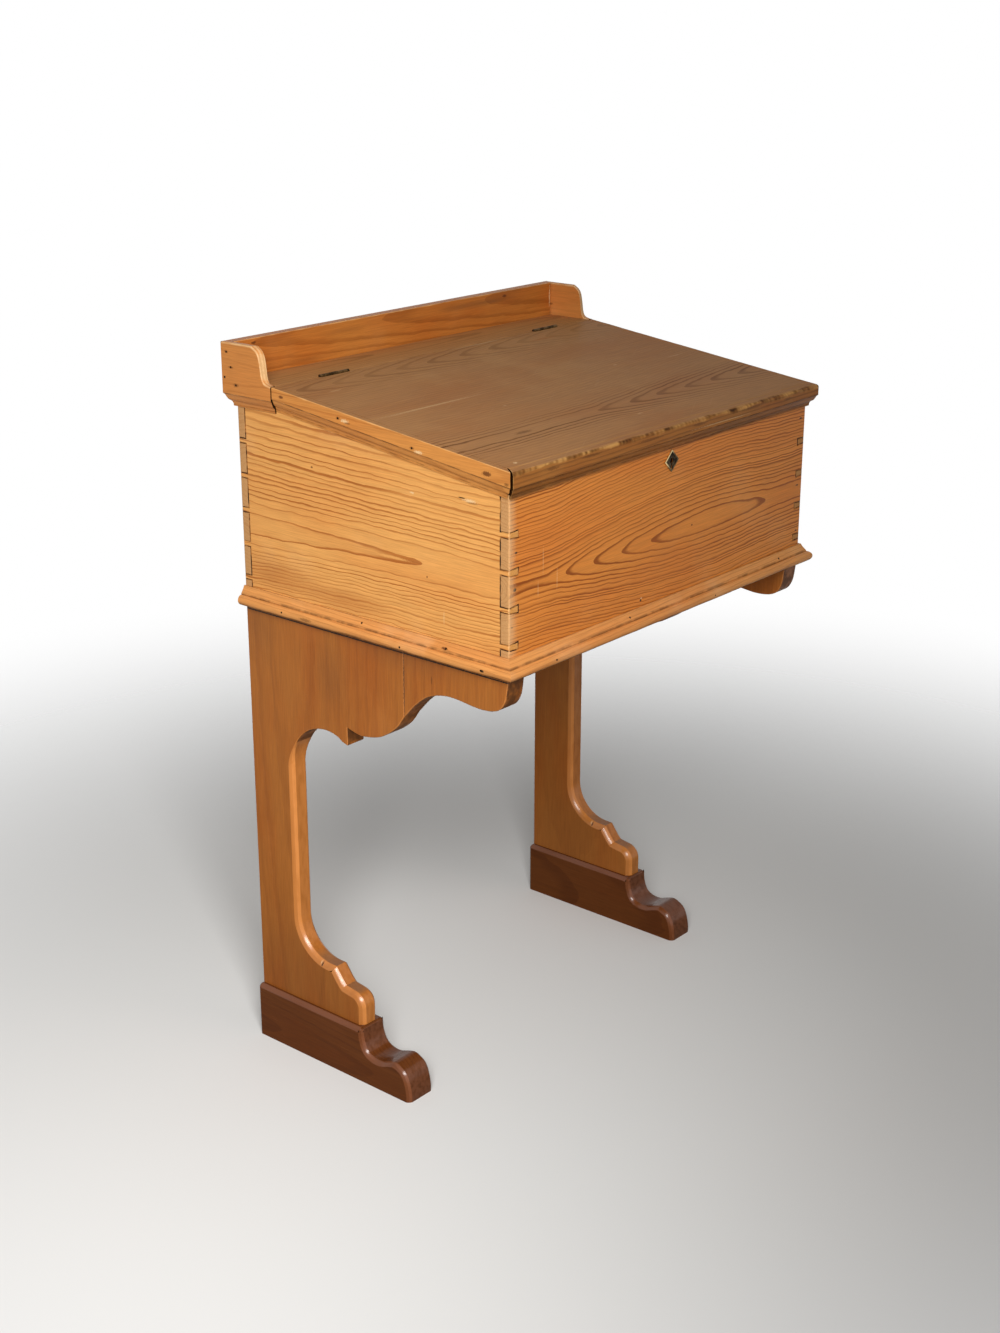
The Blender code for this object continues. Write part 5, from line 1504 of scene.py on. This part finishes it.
leg_thick = leg_high.x - leg_low.x
foot_half = (foot_high.x - foot_low.x) / 2
for side, word in SIDES:
    low, high = sorted((side * half, side * (half - leg_thick)))
    cut_board("leg_board_" + word, upright_outline(), low, high, leg_wood,
              ["leg_upright_" + word], UPRIGHT_CHAMFER, upright_weight)
    cut_board("leg_bracket_board_" + word, bracket_outline(), low, high, leg_wood,
              ["leg_bracket_" + word], SOFT_EDGE, bracket_weight)
    middle = (low + high) / 2
    cut_board("foot_block_" + word, foot_outline(), middle - foot_half, middle + foot_half,
              foot_wood, ["foot_" + word], FOOT_CHAMFER, foot_weight)
print("wooden pieces made so far:", len(replaced_nodes))

# %% [markdown]
# The metal is small but it is what a hand looks for: two brass hinges made nearly black, partly as
# painted shade in their slots, an iron lock, a brass key plate whose rim is rubbed bright and carries
# a painted highlight, and steel screws. Each could be a plain metal with its own colour, but old
# metal is never even. One group makes the uneven tarnish and the pitting, and each metal mixes its
# clean and its dull colour by it.

# %% Metal recipe
PATINA = ((140.0, 140.0, 140.0), 4.0)
PATINA_RANGE = (0.32, 0.62)
PITTING = ((1500.0, 1500.0, 1500.0), 3.0)
PITTING_DEPTH = 0.00006
PITTING_STRENGTH = 0.6
TARNISH_MATT = 0.2
RUBBED_SMOOTH = -0.2
RUB_BREAKS = (0.3, 0.5, 0.6, 1.0)
METAL_SEED_STEPS = (1.0, 1.3, 2.1)


def tarnish_group():
    """Cloudy patina and fine pitting at a place on a metal."""
    tree, given, result = new_group("tarnish", (("Place", "Vector"), ("Seed", "Vector")),
                                    (("Patina", "Float"), ("Pitting", "Float")))
    cloud = stretched_noise(tree, given["Place"], given["Seed"], *PATINA)
    tree.links.new(spread(tree, cloud[0], *PATINA_RANGE), result["Patina"])
    pits = stretched_noise(tree, given["Place"], given["Seed"], *PITTING)
    tree.links.new(pits[0], result["Pitting"])
    return tree


TARNISH = tarnish_group()


def metal(name, clean, dull, roughness, seed, rubbed_and_lit=None, rub=None):
    """An old metal. Rub masks where it shows the rubbed colour: wear, and a painted highlight."""
    made, tree, shader = new_material(name)
    place = node(tree, "TexCoord").outputs["Object"]
    shift = tuple(seed * step for step in METAL_SEED_STEPS)
    skin = place_group(tree, TARNISH, {"Place": place, "Seed": shift})
    colour = mix(tree, skin["Patina"], tint(clean), tint(dull))
    rough = calc(tree, "MULTIPLY_ADD", skin["Patina"], TARNISH_MATT, roughness)
    if rub:
        mask = rub(tree, place)
        mask = calc(tree, "MULTIPLY", mask, spread(tree, skin["Pitting"], *RUB_BREAKS))
        colour = mix(tree, mask, colour, tint(rubbed_and_lit))
        rough = calc(tree, "MULTIPLY_ADD", mask, RUBBED_SMOOTH, rough)
    tree.links.new(colour, shader.inputs["Base Color"])
    tree.links.new(rough, shader.inputs["Roughness"])
    shader.inputs["Metallic"].default_value = 1.0
    bump = node(tree, "Bump", {"Height": skin["Pitting"], "Distance": PITTING_DEPTH,
                               "Strength": PITTING_STRENGTH})
    tree.links.new(bump.outputs[0], shader.inputs["Normal"])
    return made


print("group", TARNISH.name)

# %% [markdown]
# Only the key plate has been polished again by the hands that turn the key, and only on its raised
# rim. That could be a second material on the rim's faces, but its edge would be hard. A mask from the
# plate's own diamond shape fades in and out, and it is made strongest at the upper left as a painted
# highlight.

# %% Metals
RIM_INNER = 0.80
RIM_OUTER = 0.88
HIGHLIGHT_SIDE = (-0.1, 0.7, 0.1, 1.0)

plate_half = (plate_high - plate_low) / 2


def plate_rim_and_highlight(tree, place):
    """The raised rim of the diamond key plate, rubbed, with a painted highlight at its upper left."""
    from_middle = calc_vector(tree, "SUBTRACT", place, tuple(plate_middle))
    away = node(tree, "SeparateXYZ", {0: from_middle}).outputs
    wide = calc(tree, "DIVIDE", calc(tree, "ABSOLUTE", away["X"]), plate_half.x)
    tall = calc(tree, "DIVIDE", calc(tree, "ABSOLUTE", away["Z"]), plate_half.z)
    rim = spread(tree, calc(tree, "ADD", wide, tall), RIM_INNER, RIM_OUTER)
    left = calc(tree, "DIVIDE", away["X"], -plate_half.x)
    upper_left = calc(tree, "MULTIPLY_ADD", away["Z"], 0.5 / plate_half.z, left)
    return calc(tree, "MULTIPLY", rim, spread(tree, upper_left, *HIGHLIGHT_SIDE))


# The hinges' dark brass is partly painted shade, for the shade in their slots.
hinge_brass = metal("hinge_brass_dark_with_shade", "5E4526", "33240F", 0.5, 1.7)
bolt_brass = metal("bolt_brass", "8C6A34", "4A3618", 0.38, 2.9)
plate_brass = metal("key_plate_brass", "4A3A22", "1E160C", 0.42, 4.3, "D9C08A", plate_rim_and_highlight)
lock_iron = metal("lock_iron_oiled", "3B3835", "1E1B19", 0.5, 5.1)
screw_steel = metal("screw_steel_dull", "6A655E", "37322D", 0.42, 6.7)
brad_iron = metal("brad_iron", "2A221B", "120D09", 0.6, 8.3)
print("metals made with", TARNISH.name)

# %% [markdown]
# Small brads hold the lips, the mouldings and the gallery. Their heads show as dark spots, a little
# out of round and hardly proud of the wood. Dark spots in the wood's material would do from afar, but
# a real head catches light at its rim. So each is a low dome of a few rings, and a row of them is one
# piece.

# %% Brad heads
BRAD_RADIUS = 0.0014
BRAD_SIDES = 12
BRAD_DOME = ((0.40, 0.00028), (0.78, 0.00020), (1.0, 0.00004), (0.9, -0.0006))
BRAD_UNEVEN = 0.16
BRAD_LUMPS = 1.4
BRAD_SEEDS = 3.7


def add_brad(work, place, facing, seed):
    """One brad's head on a face."""
    stand = Matrix.Translation(place) @ facing.to_track_quat("Z", "Y").to_matrix().to_4x4()
    rings = []
    for share, height in BRAD_DOME:
        ring = []
        for i in range(BRAD_SIDES):
            angle = 2 * math.pi * i / BRAD_SIDES
            lump = noise.noise((math.cos(angle) * BRAD_LUMPS, math.sin(angle) * BRAD_LUMPS, seed))
            reach = BRAD_RADIUS * share * (1 + BRAD_UNEVEN * lump)
            spot = Vector((reach * math.cos(angle), reach * math.sin(angle), height))
            ring.append(work.verts.new(stand @ spot))
        rings.append(ring)
    work.faces.new(rings[0])
    work.faces.new(rings[-1][::-1])
    for near, far in zip(rings, rings[1:]):
        for i in range(BRAD_SIDES):
            j = (i + 1) % BRAD_SIDES
            work.faces.new((near[i], far[i], far[j], near[j]))


def set_brads(name, body, spots):
    """A row of brads as one piece. A spot is where it is and the way it faces."""
    work = bmesh.new()
    for index, (place, facing) in enumerate(spots):
        add_brad(work, place, facing, index * BRAD_SEEDS + len(name))
    finish_mesh(name, work, [brad_iron], body, [])


print("a brad's head is", BRAD_RADIUS * 2000, "mm wide")

# %% [markdown]
# To sit on a moulding, a brad needs to know where the moulding's face is at its height and which way
# it looks. A ray cast at the finished mesh would tell, but the answer is already in the section, so
# it is read from there. The places along and up are those of the dark spots in the photograph, and
# the right side is given similar ones.

# %% Rows of brads
LIP_BRADS = {-1: ((0.036, 0.897), (-0.082, 0.879), (-0.2245, 0.859), (-0.2216, 0.847)),
             1: ((0.052, 0.899), (-0.071, 0.881), (-0.214, 0.860))}
END_BRADS = {-1: ((0.226, 0.953), (0.219, 0.9345), (0.231, 0.921), (0.211, 0.913)),
             1: ((0.224, 0.951), (0.228, 0.930), (0.213, 0.914))}
BASE_BRADS = {-1: ((0.009, 0.647), (-0.062, 0.634), (-0.129, 0.645), (-0.190, 0.634),
                   (0.140, 0.635)),
              1: ((0.150, 0.634), (0.020, 0.646), (-0.085, 0.634), (-0.186, 0.645))}
FRONT_BRADS = ((-0.240, 0.635), (-0.085, 0.646), (0.088, 0.634), (0.251, 0.645))


def on_section(corners, up):
    """How far out a section's outer face is at a height, and the way it faces as (out, up)."""
    places = [place for place, wear_and_light, dirt_and_shade in section_points(corners)]
    found = None
    for start, end in zip(places, places[1:] + places[:1]):
        if min(start.y, end.y) <= up < max(start.y, end.y):
            out = start.x + (end.x - start.x) * (up - start.y) / (end.y - start.y)
            if found is None or out > found[0]:
                rise = (end - start).normalized()
                found = (out, Vector((rise.y, -rise.x)))
    return found


def on_side(side, corners, y, z, up):
    """A spot on a length at the left or right of the desk."""
    out, facing = on_section(corners, up)
    return Vector((side * (half + out), y, z)), Vector((side * facing.x, 0.0, facing.y))


def on_front(corners, x, z):
    """A spot on the front length."""
    out, facing = on_section(corners, z)
    return Vector((x, front_y - out, z)), Vector((0.0, -facing.x, facing.y))


lip_face = lip_corners(side_thick, LEFT_RUB)
end_face = gallery_corners(side_thick, gallery_top, BACK_RUB, BACK_RUB)
base_face = base_at(2.0)(0.0)
rows = {}
for side, word in SIDES:
    rows["brads_lip_" + word] = "lid", [
        on_side(side, lip_face, y, z, z - lid_plane - lid_slope * y) for y, z in LIP_BRADS[side]]
    rows["brads_gallery_" + word] = "desk", [
        on_side(side, end_face, y, z, z) for y, z in END_BRADS[side]]
    rows["brads_base_" + word] = "desk", [
        on_side(side, base_face, y, z, z) for y, z in BASE_BRADS[side]]
rows["brads_base_front"] = "desk", [on_front(base_face, x, z) for x, z in FRONT_BRADS]
for name, (body, spots) in rows.items():
    set_brads(name, body, spots)
print("brads:", sum(len(spots) for body, spots in rows.values()), "in", len(rows), "rows")

# %% [markdown]
# The hinges, the lock, the screws and the dowels keep the frame's own shapes, which are true already.
# Making them again would only risk the fit of the moving parts. Each takes the finish of its kind,
# and the key plate's edges get a fine rounding so that the rim catches the light.

# %% Fittings
PLATE_ROUNDING = 0.00035
PLATE_ANGLE = 30

dowel_wood = wood("dowel_wood", "yxz", (0.5, 0.0, 0.5), RAW_COLOURS, ring=0.003, seed=3.3)
FINISHES = {"hinge_brass": hinge_brass, "escutcheon_brass": plate_brass, "lock_iron": lock_iron,
            "screw_steel": screw_steel, "leg_wood": dowel_wood}
FINISH_BY_NAME = {"lock_bolt": bolt_brass, "lock_strike": bolt_brass}

fitted = 0
for part in frame["record"]["subparts"]:
    name = part["node"]
    if name not in replaced_nodes:
        finish = FINISH_BY_NAME.get(name, FINISHES[part["material_slot"]])
        for material_slot in frame["nodes"][name].material_slots:
            material_slot.material = finish
        fitted += 1
rounding = frame["nodes"]["escutcheon"].modifiers.new("rim", "BEVEL")
rounding.width = PLATE_ROUNDING
rounding.segments = 2
rounding.limit_method = "ANGLE"
rounding.angle_limit = math.radians(PLATE_ANGLE)
print("fittings finished:", fitted)
